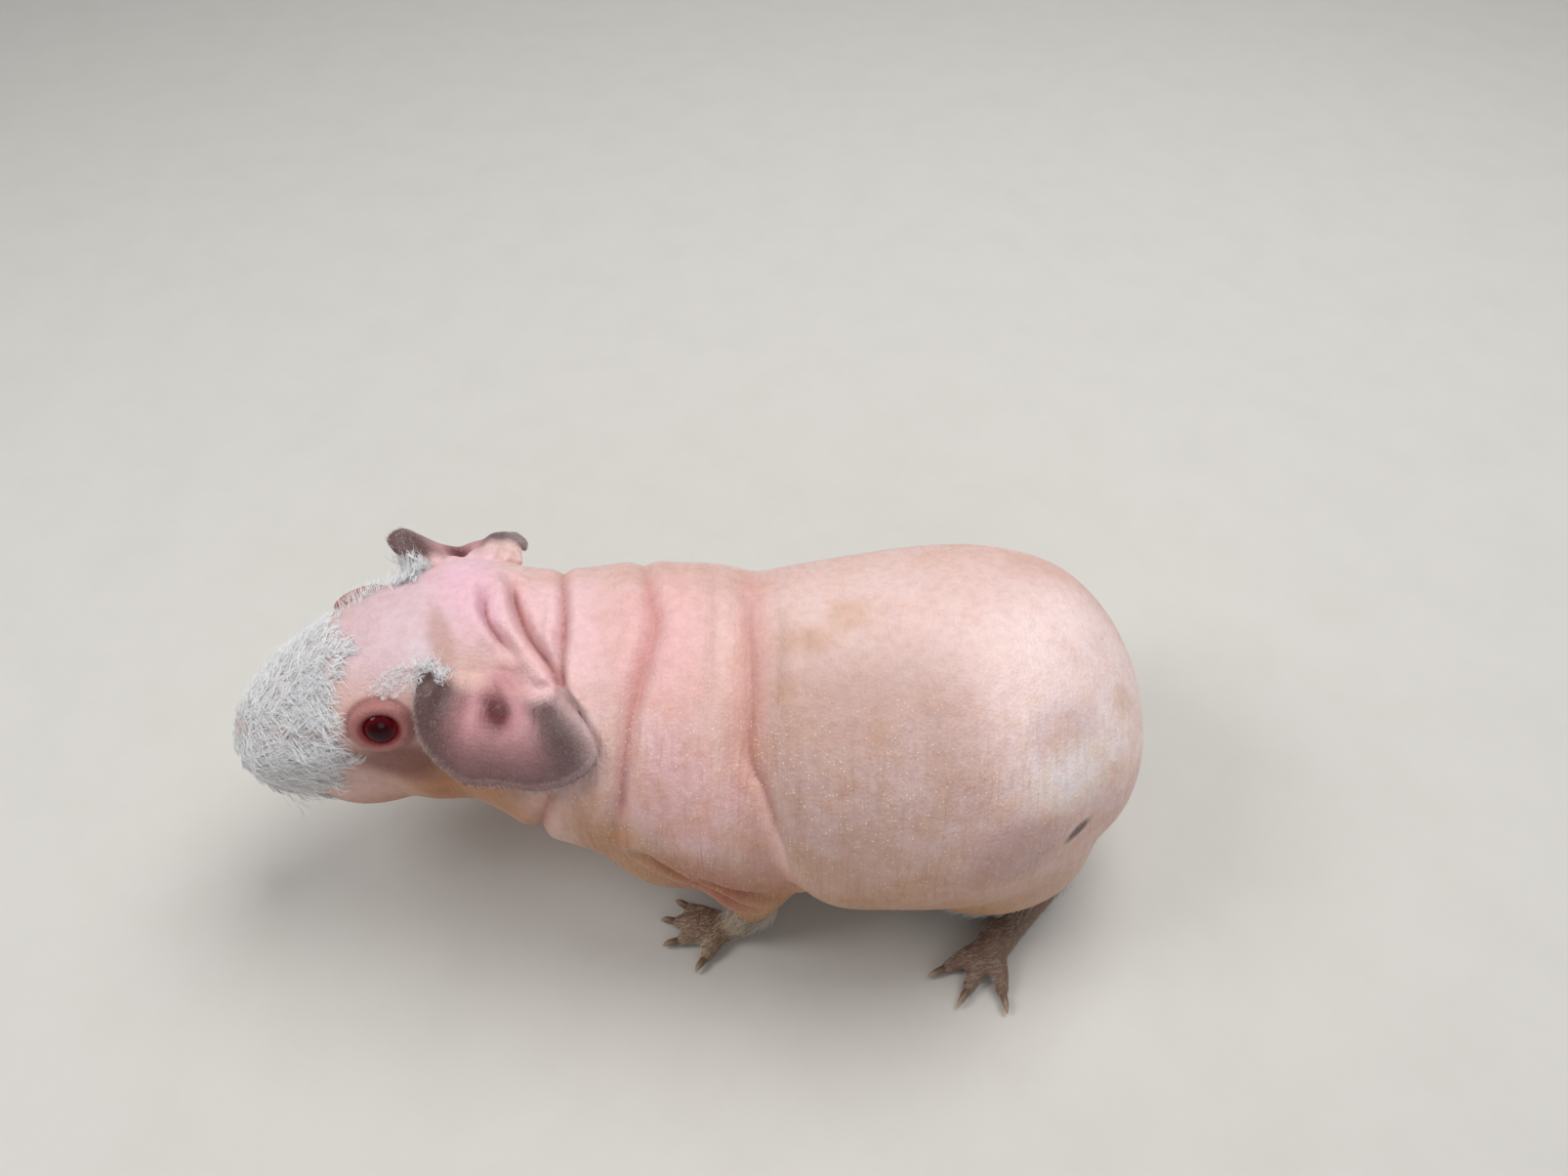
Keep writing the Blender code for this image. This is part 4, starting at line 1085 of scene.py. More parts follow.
def skin_material():
    """The tint, mottled at three scales, darker in the wrinkles as painted shade, and with pale flecks of dry
    skin painted bright as glints. The detail's parts say how strong the flecks, the wrinkles and the wetness
    are."""
    material, tree, shader = new_material("bare skin")
    flecked, lined, wet = node(tree, "ShaderNodeSeparateColor", {"Color": kept_colour(tree, "detail")}).outputs
    blotches = mottled(tree, kept_colour(tree, "tint"), 55.0, (0.85, 0.74, 0.72, 1.0), 0.38)
    grains = mottled(tree, blotches, 420.0, (0.80, 0.75, 0.72, 1.0))
    stains = mottled(tree, grains, 130.0, (0.93, 0.83, 0.70, 1.0), flecked)
    height = shared_group(tree, "wrinkles", {"Lines": lined, "Pores": 0.22, "Lumps": 0.4})
    # Painted shade: darker where the wrinkles' height is low.
    painted_wrinkle_shade = mixed(tree, ranged(tree, height, 0.75, 0.45), stains, (0.93, 0.87, 0.83, 1.0), "MULTIPLY")
    # Pale flecks of dry skin, painted bright as glints.
    flecks = shared_group(tree, "flecks", {"Scale": 1250.0, "Share": 0.3, "Size": 0.30})
    base = mixed(tree, worked(tree, "MULTIPLY", flecks, flecked), painted_wrinkle_shade, (*FLECK_AND_GLINT_COLOUR, 1.0))
    noise = {"Vector": object_place(tree), "Scale": 300.0, "Detail": 3.0}
    rough = ranged(tree, node(tree, "ShaderNodeTexNoise", noise).outputs["Fac"], 0.0, 1.0, 0.42, 0.68)
    bump = node(tree, "ShaderNodeBump", {"Height": height, "Strength": 0.7, "Distance": 0.0009})
    wire(shader, {
        "Base Color": base,
        "Roughness": worked(tree, "ADD", rough, worked(tree, "MULTIPLY", wet, -0.25)),
        "Normal": bump.outputs["Normal"],
        "Subsurface Weight": 0.25,
        "Subsurface Radius": (1.0, 0.4, 0.25),
        "Subsurface Scale": 0.003,
        "Specular IOR Level": 0.4,
        "Sheen Weight": 0.15,
        "Sheen Roughness": 0.4,
    })
    return material


def eye_material():
    material, tree, shader = new_material("ruby eye")
    wire(shader, {
        "Base Color": kept_colour(tree, "tint"),
        "Roughness": 0.25,
        "Specular IOR Level": 0.05,
        "Coat Weight": 0.3,
        "Coat Roughness": 0.03,
        "IOR": 1.38,
    })
    return material


def claw_material():
    material, tree, shader = new_material("claw horn")
    wire(shader, {
        "Base Color": mottled(tree, kept_colour(tree, "tint"), 900.0),
        "Roughness": 0.35,
        "Subsurface Weight": 0.1,
        "Subsurface Scale": 0.001,
    })
    return material


def hair_material():
    material, tree, shader = new_material("fine hair")
    wire(shader, {
        "Base Color": mottled(tree, kept_colour(tree, "tint"), 700.0, (0.96, 0.955, 0.95, 1.0)),
        "Roughness": 0.42,
        "Specular IOR Level": 0.45,
        "Sheen Weight": 0.8,
        "Sheen Roughness": 0.5,
    })
    return material


def dress(piece, material, slot, *nodes):
    """Gives the piece its material, and lets it ride on the body in place of these nodes. The slot is not used.
    """
    piece.data.materials.clear()
    piece.data.materials.append(material)
    piece.data.shade_smooth()
    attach(piece, BODY)
    if nodes:
        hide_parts(*nodes)


def thin_out(piece, chosen, share):
    """Keeps this share of the triangles where the points are chosen, and all of the others."""
    group = piece.vertex_groups.new(name="thinned")
    group.add(np.flatnonzero(chosen).tolist(), 1.0, "REPLACE")
    fewer = piece.modifiers.new("fewer", "DECIMATE")
    fewer.ratio = 1 - chosen.mean() * (1 - share)
    fewer.vertex_group = group.name
    fewer.vertex_group_factor = 0.0001
    apply_modifiers(piece)
    piece.vertex_groups.clear()


class SkinSettings(bpy.types.PropertyGroup):
    grid: FloatProperty(
        name="Grid", description="Size of the skin's grid", default=0.00055, unit="LENGTH", precision=5
    )
    trunk_share: FloatProperty(
        name="Trunk share", description="Of the trunk's triangles that stay", default=0.28, subtype="FACTOR"
    )


class ClawSettings(bpy.types.PropertyGroup):
    radius: FloatProperty(
        name="Radius", description="Of a claw at its root", default=CLAW_RADIUS, unit="LENGTH", precision=5
    )


class StageSettings(bpy.types.PropertyGroup):
    lens: FloatProperty(name="Lens", description="Focal length on a 36 mm width", default=LENS, unit="CAMERA")
    key_power: FloatProperty(name="Key light", description="Of the light overhead", default=6.6, unit="POWER")
    world_strength: FloatProperty(name="Room light", description="Of the room's even light", default=0.27)


class SKINNY_PIG_OT_make_skin(bpy.types.Operator):
    """One skin over body, legs and ears, in place of the solids of flesh, with its folds and colours."""

    bl_idname = "skinny_pig.make_skin"
    bl_label = "Make skin"

    def execute(self, context):
        settings = context.scene.skinny_pig_skin
        shapes = [closed_shapes(grid) for grid in body_grids()]
        skin = new_piece("skin", new_mesh("skin", *joined(shapes)))
        fuse(skin, COARSE)
        points, _, _ = arrays(skin.data)
        most, turns, least = SOFTENING
        relax(skin.data, np.interp(points[:, 2], SOFT_HEIGHTS, (least, most)), turns)
        finer = skin.modifiers.new("finer", "SUBSURF")
        finer.levels = finer.render_levels = 1
        apply_modifiers(skin)
        shell = bmesh.new()
        shell.from_mesh(skin.data)
        for side in SIDES:
            for grid in (lid_grid(side), ear_grid(side)):
                extra = new_mesh("extra", *closed_shapes(grid))
                shell.from_mesh(extra)
                bpy.data.meshes.remove(extra)
        shell.to_mesh(skin.data)
        shell.free()
        fuse(skin, settings.grid)
        share, turns = SKIN_SMOOTHING
        relax(skin.data, np.full(len(skin.data.vertices), share), turns)
        points, normals, _ = arrays(skin.data)
        apart, _ = near_ears(points)
        depth = fold_depth(points, FOLDS, FOLD_SHARPNESS)[0] + fold_depth(points, CREASES, 1.0)[0]
        depth = depth * smooth_step(apart, 0.0013, 0.0030) + face_depth(points)
        points = sink_sockets(points - normals * depth[:, None])
        points[:, 2] = np.maximum(points[:, 2], LOWEST_SKIN)
        set_points(skin.data, points)
        head = in_head(points)
        x, turn = in_trunk(points)
        mole = np.hypot(x - MOLE_PLACE[0], FOLD_RADIUS * (turn - math.radians(MOLE_PLACE[1]))) < MOLE_FINE
        fine = mole | (np.abs(waist_distance(x, np.degrees(turn))) < WAIST_FINE)
        trunk = (head[:, 0] < HEAD_START) & (points[:, 2] > THIN_ABOVE) & (apart > THIN_FROM_EARS) & ~fine
        thin_out(skin, trunk, settings.trunk_share)
        points, _, _ = arrays(skin.data)
        set_colours(skin.data, "tint", tint_at(points))
        set_colours(skin.data, "detail", detail_at(points))
        set_points(skin.data, points + SHIFT)
        dress(skin, skin_material(), "skin", *SKIN_NODES)
        return {"FINISHED"}


def detail_at(points):
    """How strong the flecks, the wrinkle lines and the wetness are at each point, each 0 to 1."""
    turn = np.degrees(np.abs(in_trunk(points)[1]))
    head = in_head(points)
    behind = smooth_step(head[:, 0], 0.010, HEAD_START)
    flecks = behind * (0.25 + 0.75 * smooth_step(turn, 15, 50) * smooth_step(turn, 125, 90))
    flecks = flecks * (near_ears(points)[0] > 0.003)
    lines = 0.25 + 0.75 * behind * smooth_step(turn, 25, 60)
    wet = smooth_step(np.linalg.norm(head - (0.0725, 0.0, -0.0075), axis=1), 0.008, 0.004)
    for side in SIDES:
        middle, axes = eye_axes(side)
        off = np.linalg.norm(points - (middle + axes[:, 2] * 0.0040), axis=1)
        wet = np.maximum(wet, smooth_step(off, 0.0066, 0.0046))
    return np.stack([flecks, lines, wet], axis=1)


class SKINNY_PIG_OT_make_eyes(bpy.types.Operator):
    """Both eyes: balls with a low cornea, dark ruby, and redder low at the edge as painted light shining
    through the eye.
    """

    bl_idname = "skinny_pig.make_eyes"
    bl_label = "Make eyes"

    def execute(self, context):
        for side in SIDES:
            middle, axes = eye_axes(side)
            shape = ball((0, 0, 0), (1, 1, 1), np.eye(4), EYE_SIDES)
            bulge = 1 + CORNEA_RISE * smooth_step(shape[..., 2], 0.62, 0.92)
            points, faces = closed_shapes(shape * bulge[..., None])
            mesh = new_mesh("eyeball", points * EYE_RADIUS @ axes.T + middle + SHIFT, faces)
            eye = new_piece(f"eyeball_{side}", mesh)
            across, up, out = unit(points).T
            tint = blended(np.tile(EYE_RUBY, (len(points), 1)), EYE_DARK, smooth_step(out, 0.86, 0.94))
            # Painted light shining through the eye: redder at its lower edge.
            painted_light_rim = smooth_step(out, 0.90, 0.62) * smooth_step(up - 0.5 * across, 0.25, -0.35)
            set_colours(eye.data, "tint", blended(tint, EYE_RIM_PAINTED_LIGHT, 0.9 * painted_light_rim))
            dress(eye, eye_material(), "eye", f"eye_{side}")
        return {"FINISHED"}


class SKINNY_PIG_OT_make_claws(bpy.types.Operator):
    """All the claws in one piece: horns that taper and curve down from the toes' tips."""

    bl_idname = "skinny_pig.make_claws"
    bl_label = "Make claws"

    def execute(self, context):
        settings = context.scene.skinny_pig_claws
        shapes, tints, nodes = [], [], []
        rings, sides = CLAW_GRID
        for side in SIDES:
            for kind, (bones, toe_rows) in FEET.items():
                for index, (turn, length) in enumerate(toe_rows):
                    _, away, tip = toe_line(bones, turn, length)
                    stops = [(*tip, settings.radius)]
                    for share, thick, rise in CLAW_STOPS:
                        out = away * (TOE_TIP_RADIUS + share * CLAW_LENGTH[kind])
                        spot = tip + out + np.array((0, 0, rise))
                        stops.append((*spot, settings.radius * thick))
                    rows = smooth_rows(stops, rings)
                    horn = carried(rows[None, :, :3], rows[None, :, 3], np.array((0.0, 0.0, 1.0)), sides)
                    shapes.append(closed_shapes(moved(horn, side_frame(side))))
                    share = np.append(np.repeat(np.linspace(0, 1, rings), sides), (0, 1))
                    tints.append(blended(np.tile(CLAW_DARK, (len(share), 1)), CLAW_PALE, share))
                    nodes.append(f"claw_{kind}_{side}_{index + 1}")
        points, faces = joined(shapes)
        points[:, 2] = np.maximum(points[:, 2], LOWEST_HAIR)
        claws = new_piece("claws", new_mesh("claws", points + SHIFT, faces))
        set_colours(claws.data, "tint", np.concatenate(tints))
        dress(claws, claw_material(), "claw", *nodes)
        return {"FINISHED"}


def skin_spots(rng, density, count):
    """Places drawn on the skin, as likely as the density there times the area: points and outward normals."""
    mesh = bpy.data.objects["skin"].data
    mesh.calc_loop_triangles()
    corners = np.empty(len(mesh.loop_triangles) * 3, int)
    mesh.loop_triangles.foreach_get("vertices", corners)
    corners = corners.reshape(-1, 3)
    points, normals, _ = arrays(mesh)
    points = points - SHIFT
    a, b, c = (points[corners[:, corner]] for corner in range(3))
    area = np.linalg.norm(np.cross(b - a, c - a), axis=1)
    likely = np.cumsum(area * density((a + b + c) / 3))
    face = np.searchsorted(likely, rng.uniform(0, likely[-1], count))
    share = rng.uniform(0, 1, (count, 2))
    share = np.where(share.sum(axis=1, keepdims=True) > 1, 1 - share, share)
    weights = np.column_stack([1 - share.sum(axis=1), share])
    spots = (points[corners[face]] * weights[..., None]).sum(axis=1)
    outward = (normals[corners[face]] * weights[..., None]).sum(axis=1)
    return spots, unit(outward)


def unwrapped(points, kind):
    """Places on an unwrap of the skin's own shape, 0 to 1: along the head or trunk and round it, or across and
    out along the ears."""
    if kind == "ear":
        return 0.05 + 0.90 * near_ears(points)[1]
    if kind == "head":
        head = in_head(points)
        along, turn = (head[:, 0] + 0.02) / 0.10, np.arctan2(head[:, 1], head[:, 2] + 0.006)
    else:
        along, turn = in_trunk(points)
        along = (along + 0.08) / 0.20
    return np.clip(np.column_stack([along, 0.5 + turn / (2 * math.pi)]), 0.01, 0.99)


def tangent(ways, normals):
    """The ways laid along the skin: less what stands along its normals."""
    return unit(ways - (ways * normals).sum(axis=1, keepdims=True) * normals)


def head_ways(ways):
    return ways @ head_frame()[:3, :3].T


class Tufts:
    """Tufts of hairs that grow on spots of the skin. A hair's path goes out along its lie by its length times
    the share t of the way, rises off the skin by the sine of its lift times t, falls back by its droop times t
    squared, and waves to its side by its curl times a sine of t. The hairs of a tuft draw together towards its
    tip."""

    def __init__(self, rng, spots, lie, length, lift=0.4, droop=0.3, curl=0.0, waves=1.2):
        self.rng = rng
        self.points, self.normals = spots
        self.lie = tangent(lie, self.normals)
        count = len(self.points)
        self.length, self.lift, self.droop, self.curl = (
            np.broadcast_to(value, (count,)).astype(float) for value in (length, lift, droop, curl)
        )
        self.waves = waves
        self.phase = rng.uniform(0, 2 * math.pi, count)

    def shapes(self, hairs, spread, radius, rings=6, gather=0.7, stray=0.16):
        """The hairs' closed tubes, with each point's share of the way and the number of its tuft."""
        rng, count = self.rng, len(self.points)
        tuft = np.repeat(np.arange(count), hairs)
        number = len(tuft)
        t = np.linspace(0, 1, rings)[None, :, None]
        normal, side = self.normals[tuft], np.cross(self.normals, self.lie)[tuft]
        lie = unit(self.lie[tuft] + rng.normal(0, stray, (number, 1)) * side)
        length = (self.length[tuft] * rng.uniform(0.7, 1.15, number))[:, None, None]
        turn, far = rng.uniform(0, 2 * math.pi, number), spread * np.sqrt(rng.uniform(0, 1, number))
        offset = np.cos(turn)[:, None] * lie + np.sin(turn)[:, None] * side
        offset = (offset * far[:, None])[:, None] * (1 - gather * t)
        lift = np.clip(self.lift[tuft] + rng.normal(0, stray, number), 0.05, 1.5)[:, None, None]
        droop = self.droop[tuft][:, None, None]
        phase = (self.phase[tuft] + rng.normal(0, 0.5, number))[:, None, None]
        wave = np.sin(2 * math.pi * self.waves * t + phase) - np.sin(phase)
        curl = self.curl[tuft][:, None, None] * rng.uniform(0.6, 1.3, number)[:, None, None]
        path = self.points[tuft][:, None] + offset - HAIR_ROOT * normal[:, None]
        path = path + lie[:, None] * (length * np.cos(lift) * t)
        path = path + normal[:, None] * (length * (np.sin(lift) * t - droop * t * t))
        path = path + side[:, None] * (length * curl * wave * np.minimum(2 * t, 1))
        thick = radius * rng.uniform(0.75, 1.2, (number, 1)) * (1 - 0.8 * t[..., 0] ** 1.6)
        toward = np.broadcast_to(side[:, None], path.shape)
        grids = carried(path, thick, toward, HAIR_SIDES)
        share = np.concatenate([np.repeat(t[0, :, 0], HAIR_SIDES), (0, 1)])
        return closed_shapes(grids), np.tile(share, number), np.repeat(tuft, rings * HAIR_SIDES + 2)


def make_coat(name, kind, tufts, root_colour, tip_colour, **looks):
    """The tufts as one mesh, coloured from the root's colour to the tip's, with its own unwrap."""
    (points, faces), share, tuft = tufts.shapes(**looks)
    points[:, 2] = np.maximum(points[:, 2], LOWEST_HAIR)
    coat = new_piece(name, new_mesh(name, points + SHIFT, faces))
    skin = tint_at(tufts.points)[tuft]
    root = blended(skin, root_colour, np.full(len(points), 0.6))
    shade = tufts.rng.normal(1.0, 0.06, len(tufts.points))[tuft][:, None]
    tint = (root + smooth_step(share, -0.05, 0.35)[:, None] * (np.array(tip_colour) - root)) * shade
    set_colours(coat.data, "tint", np.clip(tint, 0, 1))
    corner = np.empty(len(coat.data.loops), int)
    coat.data.loops.foreach_get("vertex_index", corner)
    step = np.arange(len(points)) % HAIR_SIDES / HAIR_SIDES
    patch = unwrapped(tufts.points, kind)[tuft] + PATCH * (np.column_stack([share, step]) - 0.5)
    coat.data.uv_layers.new(name="OFBake").data.foreach_set("uv", patch[corner].ravel())
    dress(coat, shared_material("fine hair", hair_material), "hair")
    normals = unit(arrays(coat.data)[1] + COAT_NORMAL * tufts.normals[tuft])
    coat.data.normals_split_custom_set_from_vertices(normals.tolist())
    return coat


def round_head(head):
    """The turn from the top of the head, left side positive, in degrees."""
    return np.degrees(np.arctan2(head[:, 1], head[:, 2] + 0.004))


def muzzle_density(points):
    """Where the muzzle's hair grows: ahead of an edge that lies farther forward down the sides."""
    head = in_head(points)
    edge = np.interp(np.abs(round_head(head)), *MUZZLE_EDGE)
    _, side, up = points.T
    edge = edge + 0.0016 * np.sin(up * 900 + side * 500) + 0.0010 * np.sin(up * 2300)
    chin = 0.10 + 0.90 * smooth_step(np.abs(round_head(head)), 128, 96)
    nostrils = smooth_step(np.linalg.norm(head - (0.0740, 0.0, -0.0075), axis=1), 0.0020, 0.0040)
    front = 1 + 1.2 * smooth_step(head[:, 0], 0.064, 0.070)
    return smooth_step(head[:, 0], edge - 0.0030, edge + 0.0100) * chin * nostrils * front


def muzzle_lie(points):
    """Back along the head and down its sides, turned by soft waves over the face."""
    head = in_head(points)
    ahead, side, up = head.T
    left = np.tanh(side / 0.006)
    back = np.column_stack([-np.ones(len(head)), 0.35 * left, np.full(len(head), -0.45) * np.abs(left)])
    back[:, 2] += 0.45 * np.sin(ahead * 330 + up * 210) + 0.25 * np.sin(up * 560 - side * 240)
    return head_ways(back)


def ear_density(points):
    """Over both faces of the ears, thicker towards the edge and the two taupe lobes."""
    apart, places = near_ears(points)
    u, v = places.T
    lobes = smooth_step(np.abs(u - 0.5), 0.12, 0.30)
    ends = smooth_step(v, 0.10, 0.30) * (0.25 + lobes + 0.8 * smooth_step(v, 0.85, 0.97))
    return smooth_step(apart, 0.0020, 0.0012) * ends


def ear_lie(points):
    """Out from the ear's root to its edge."""
    u, v = near_ears(points)[1].T
    across, out = EAR_LIE_GRID
    ways = np.zeros((len(points), 3))
    for side in SIDES:
        outward = np.gradient(ear_sheet(side, across, out), axis=0)
        picked = outward[(v * (out - 1)).astype(int), (u * (across - 1)).astype(int)]
        ours = (in_head(points)[:, 1] > 0) == (SIDES[side] > 0)
        ways[ours] = picked[ours]
    return ways


def blob(middle, radii, low=1.0, high=0.3):
    """A density round a place of the head's own frame, fading to nothing at its radii."""
    return lambda points: smooth_step(np.linalg.norm((in_head(points) - middle) / radii, axis=1), low, high)


def foot_density(points):
    """Over the wrists and the outer sides of the feet, above the toes' soles."""
    outward = np.abs(points[:, 1] - BODY_MIDDLE)
    low = smooth_step(points[:, 2], 0.020, 0.013) * smooth_step(points[:, 2], 0.0012, 0.0030)
    return low * (0.5 + smooth_step(outward, 0.030, 0.038))


def down_density(points):
    """A thin scatter of short hairs over the trunk, more of them low on the flanks."""
    turn = np.abs(np.degrees(in_trunk(points)[1]))
    behind = smooth_step(in_head(points)[:, 0], 0.004, -0.008) * smooth_step(points[:, 2], 0.018, 0.026)
    return behind * (0.3 + 0.7 * smooth_step(turn, 30, 70)) * (near_ears(points)[0] > 0.003)


class HairSettings(bpy.types.PropertyGroup):
    seed: IntProperty(name="Seed", description="Of every draw of chance in the coat", default=11)
    white: FloatVectorProperty(
        name="White", description="Of the face's hair", default=from_screen(252, 251, 253), subtype="COLOR"
    )
    cream: FloatVectorProperty(
        name="Cream", description="Of the body's down", default=from_screen(232, 214, 196), subtype="COLOR"
    )
    radius: FloatProperty(
        name="Hair radius", description="Of one hair at its root", default=0.00008, unit="LENGTH", precision=6
    )


class SKINNY_PIG_OT_make_muzzle_hair(bpy.types.Operator):
    """The muzzle's white coat: short hairs under longer, wavy tufts that lie back over it, in three pieces."""

    bl_idname = "skinny_pig.make_muzzle_hair"
    bl_label = "Make muzzle hair"

    def execute(self, context):
        settings = context.scene.skinny_pig_hair
        rng = np.random.default_rng(settings.seed)
        spots = skin_spots(rng, muzzle_density, TUFTS["muzzle_under"])
        length = np.interp(in_head(spots[0])[:, 0], *UNDER_LENGTHS)
        under = Tufts(rng, spots, muzzle_lie(spots[0]), length, 0.32, 0.30, 0.06)
        looks = {"hairs": 5, "spread": 0.0010, "radius": settings.radius * 1.2, "rings": 4}
        make_coat("muzzle_under", "head", under, MUZZLE_ROOT, MUZZLE_SHADED, **looks)
        for side, sign in SIDES.items():
            half = lambda points, sign=sign: muzzle_density(points) * (in_head(points)[:, 1] * sign > 0)
            spots = skin_spots(rng, half, TUFTS["muzzle_coat"])
            head = in_head(spots[0])
            length = np.interp(head[:, 0], *MUZZLE_LENGTHS)
            edge = np.interp(np.abs(round_head(head)), *MUZZLE_EDGE)
            lift = 0.38 + 0.45 * smooth_step(head[:, 0], edge + 0.004, edge - 0.002)
            curl = rng.uniform(0.08, 0.22, len(head))
            droop = np.sin(lift) * 0.80 + length / 0.060
            coat = Tufts(rng, spots, muzzle_lie(spots[0]), length, lift, droop, curl, 0.9)
            looks = {"hairs": 8, "spread": 0.0009, "radius": settings.radius * 1.15, "rings": 7}
            make_coat(f"muzzle_coat_{side}", "head", coat, MUZZLE_ROOT, settings.white, gather=0.93, **looks)
        return {"FINISHED"}


class SKINNY_PIG_OT_make_face_hair(bpy.types.Operator):
    """The curly tuft before each ear, the fuzz over each eye and the whiskers."""

    bl_idname = "skinny_pig.make_face_hair"
    bl_label = "Make face hair"

    def execute(self, context):
        settings = context.scene.skinny_pig_hair
        rng = np.random.default_rng(settings.seed + 1)
        for name, (areas, (count, hairs, length, lift, droop, curl)) in FACE_TUFTS.items():
            density = lambda points, areas=areas: sum(blob(middle, radii)(points) for middle, radii in areas)
            spots = skin_spots(rng, density, count)
            lie = head_ways(np.column_stack([-np.ones(count), rng.normal(0, 0.5, (count, 2))]))
            tufts = Tufts(rng, spots, lie, length * rng.uniform(0.6, 1.2, count), lift, droop, curl, 1.4)
            looks = {"hairs": hairs, "spread": 0.0006, "radius": settings.radius * 0.85, "rings": 7}
            make_coat(name, "head", tufts, FACE_ROOT, settings.white, **looks)
        count = TUFTS["whiskers"]
        for side, sign in SIDES.items():
            spots = skin_spots(rng, blob(np.array(WHISKER_PLACE) * (1, sign, 1), WHISKER_SPREAD), count)
            back, rise = -rng.uniform(0.2, 1.0, count), rng.uniform(-0.7, 0.5, count)
            ways = head_ways(np.column_stack([back, np.full(count, 0.8 * sign), rise]))
            tufts = Tufts(rng, spots, ways, rng.uniform(0.006, 0.013, count), 0.5, 0.15, 0.07, 0.8)
            looks = {"hairs": 1, "spread": 0.0, "radius": WHISKER_RADIUS, "rings": 16}
            make_coat(f"whiskers_{side}", "head", tufts, FACE_ROOT, settings.white, **looks)
        return {"FINISHED"}


class SKINNY_PIG_OT_make_down(bpy.types.Operator):
    """The pale fuzz of the ears, the short fur of the feet and the thin down of the body."""

    bl_idname = "skinny_pig.make_down"
    bl_label = "Make down"

    def execute(self, context):
        settings = context.scene.skinny_pig_hair
        rng = np.random.default_rng(settings.seed + 2)
        count = TUFTS["ear_fuzz"]
        spots = skin_spots(rng, ear_density, count)
        fuzz = Tufts(rng, spots, ear_lie(spots[0]), rng.uniform(0.0010, 0.0020, count), 0.28, 0.15, 0.06)
        looks = {"hairs": 2, "spread": 0.0004, "radius": settings.radius * 0.55, "rings": 4}
        make_coat("ear_fuzz", "ear", fuzz, *EAR_FUZZ, **looks)
        count = TUFTS["foot_fur"]
        for kind, behind in (("front", -1), ("hind", 1)):
            where = lambda points, way=behind: foot_density(points) * ((points[:, 0] - FEET_PARTED) * way > 0)
            spots = skin_spots(rng, where, count)
            down = smooth_step(spots[0][:, 2], 0.005, 0.013)
            outward = np.sign(spots[0][:, 1] - BODY_MIDDLE)
            away = np.column_stack([down * 0.5 - 1, (0.25 + 0.25 * down) * outward, -0.12 - 0.68 * down])
            length = rng.uniform(0.7, 1.3, count) * (0.0022 + 0.0024 * down)
            fur = Tufts(rng, spots, away, length, 0.3 + 0.2 * down, 0.2, 0.10)
            looks = {"hairs": 3, "spread": 0.0006, "radius": settings.radius * 0.8, "rings": 4}
            make_coat(f"foot_fur_{kind}", "trunk", fur, FOOT_ROOT, FOOT_TIPS[kind], **looks)
        count = TUFTS["body_down"]
        spots = skin_spots(rng, down_density, count)
        back = np.column_stack([np.ones(count), rng.normal(0, 0.3, count), np.full(count, -0.4)])
        down = Tufts(rng, spots, back, rng.uniform(0.0007, 0.0015, count), 0.5, 0.15, 0.08)
        looks = {"hairs": 1, "spread": 0.0, "radius": settings.radius * 0.45, "rings": 4}
        make_coat("body_down", "trunk", down, DOWN_ROOT, settings.cream, **looks)
        return {"FINISHED"}


def area_light(name, place, target, size, power):
    light = bpy.data.lights.new(name, "AREA")
    light.shape = "DISK"
    light.size = size
    light.energy = power
    lamp = bpy.data.objects.new(name, light)
    lamp.location = place
    lamp.rotation_euler = (Vector(target) - Vector(place)).to_track_quat("-Z", "Y").to_euler()
    bpy.context.scene.collection.objects.link(lamp)


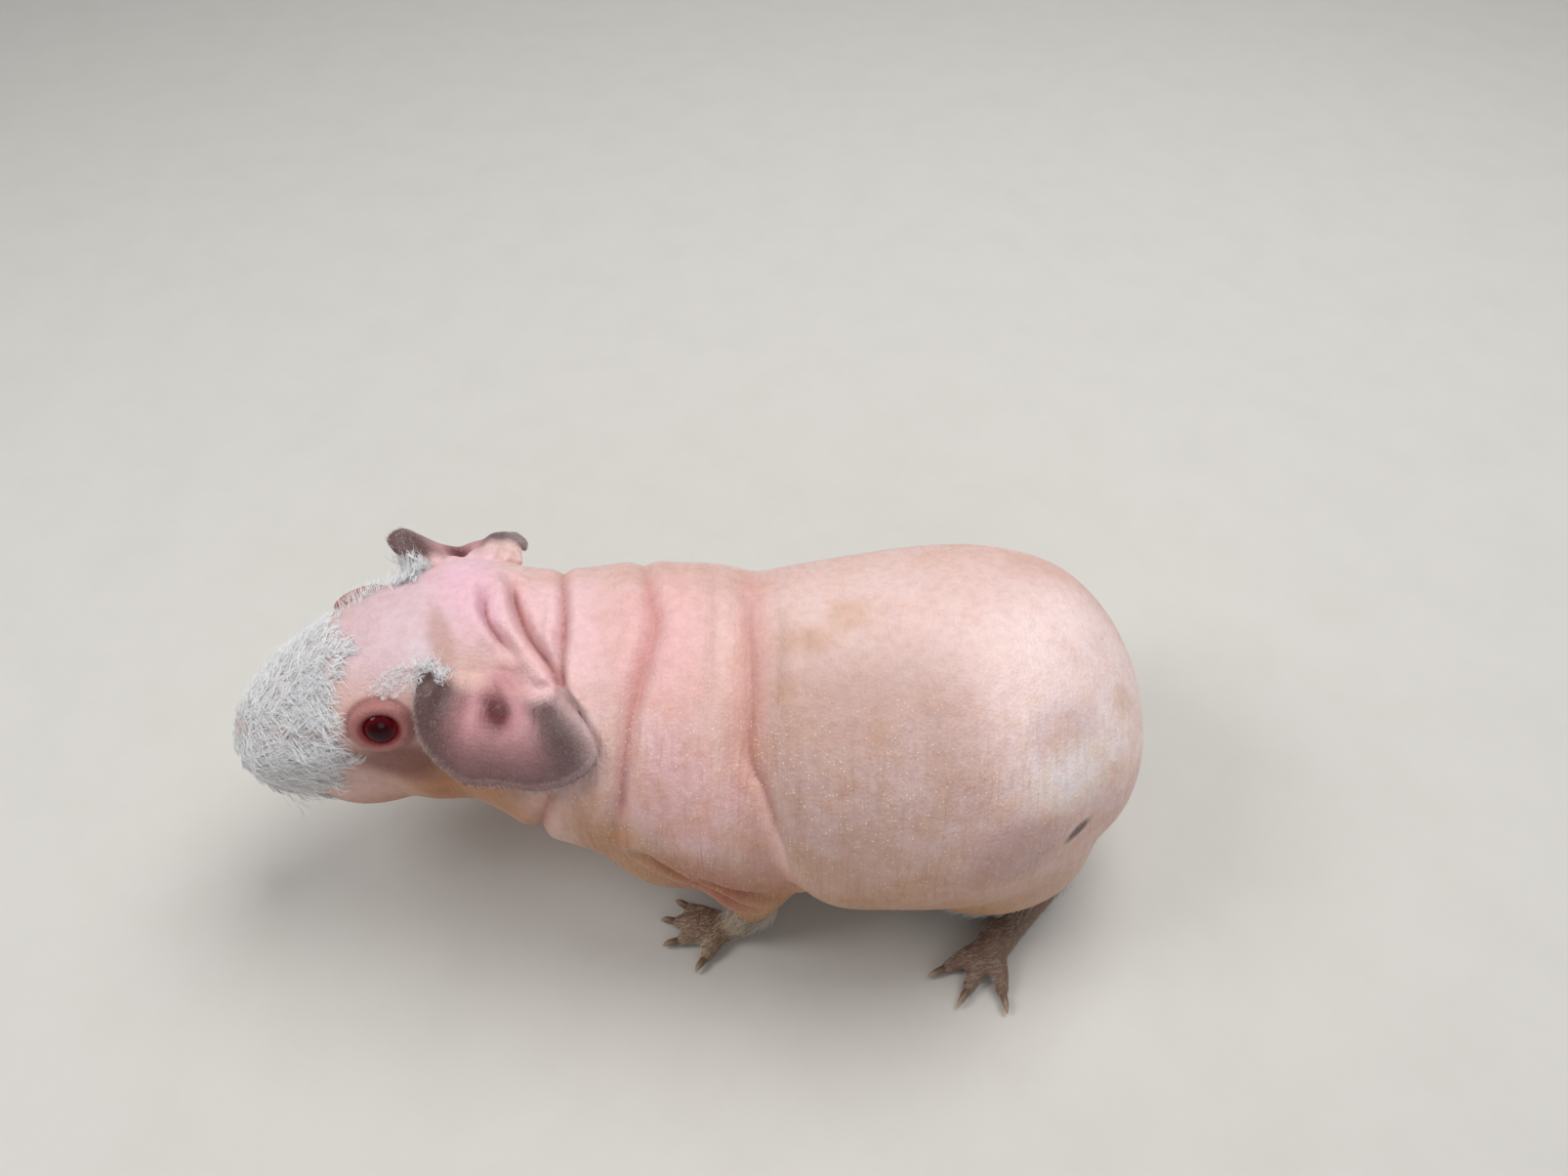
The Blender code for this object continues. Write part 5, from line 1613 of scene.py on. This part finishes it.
class SKINNY_PIG_OT_make_stage(bpy.types.Operator):
    """A plain pale floor, soft studio light and the camera at the photograph's angle."""

    bl_idname = "skinny_pig.make_stage"
    bl_label = "Make stage"

    def execute(self, context):
        settings = context.scene.skinny_pig_stage
        corners = STAGE_REACH * np.array(((-1.0, -1.0, 0.0), (1.0, -1.0, 0), (1.0, 1.0, 0), (-1.0, 1.0, 0)))
        floor = new_piece("floor", new_mesh("floor", corners, [np.array([[0, 1, 2, 3]])]))
        material, tree, shader = new_material("pale floor")
        grains = mottled(tree, (*STAGE_COLOUR, 1.0), 40.0, (0.94, 0.94, 0.93, 1.0))
        wire(shader, {"Base Color": grains, "Roughness": 0.8})
        floor.data.materials.append(material)
        world = bpy.data.worlds.new("room")
        world.use_nodes = True
        light = {"Color": (0.96, 0.98, 1.0, 1.0), "Strength": settings.world_strength}
        wire(world.node_tree.nodes["Background"], light)
        context.scene.world = world
        context.scene.view_settings.view_transform = "Standard"
        for name, (place, target, size, share) in LIGHTS.items():
            area_light(name, place, target, size, settings.key_power * share)
        lens = bpy.data.cameras.new("camera")
        lens.lens = settings.lens
        lens.clip_start = 0.01
        camera = bpy.data.objects.new("camera", lens)
        camera.location = np.array(CAMERA_PLACE) + SHIFT
        camera.rotation_euler = (math.pi / 2 - CAMERA_DOWN, 0.0, 0.0)
        context.scene.collection.objects.link(camera)
        context.scene.camera = camera
        return {"FINISHED"}


OPERATORS = (
    SKINNY_PIG_OT_make_skin,
    SKINNY_PIG_OT_make_eyes,
    SKINNY_PIG_OT_make_claws,
    SKINNY_PIG_OT_make_muzzle_hair,
    SKINNY_PIG_OT_make_face_hair,
    SKINNY_PIG_OT_make_down,
    SKINNY_PIG_OT_make_stage,
)
SETTINGS = {
    "skinny_pig_skin": SkinSettings,
    "skinny_pig_claws": ClawSettings,
    "skinny_pig_hair": HairSettings,
    "skinny_pig_stage": StageSettings,
}


class SKINNY_PIG_PT_panel(bpy.types.Panel):
    """Lists the pieces and their settings."""

    bl_label = "Skinny Pig"
    bl_space_type = "VIEW_3D"
    bl_region_type = "UI"
    bl_category = "Skinny Pig"

    def draw(self, context):
        for operator in OPERATORS:
            self.layout.operator(operator.bl_idname)
        for name, kind in SETTINGS.items():
            for field in kind.__annotations__:
                self.layout.prop(getattr(context.scene, name), field)


def register():
    for kind in (*SETTINGS.values(), *OPERATORS, SKINNY_PIG_PT_panel):
        bpy.utils.register_class(kind)
    for name, kind in SETTINGS.items():
        setattr(bpy.types.Scene, name, PointerProperty(type=kind))


def unregister():
    for name in SETTINGS:
        delattr(bpy.types.Scene, name)
    for kind in (SKINNY_PIG_PT_panel, *reversed(OPERATORS), *reversed(SETTINGS.values())):
        bpy.utils.unregister_class(kind)


def main():
    register()
    bpy.ops.skinny_pig.make_skin()
    bpy.ops.skinny_pig.make_eyes()
    bpy.ops.skinny_pig.make_claws()
    bpy.ops.skinny_pig.make_muzzle_hair()
    bpy.ops.skinny_pig.make_face_hair()
    bpy.ops.skinny_pig.make_down()
    bpy.ops.skinny_pig.make_stage()


if __name__ == "__main__":
    main()
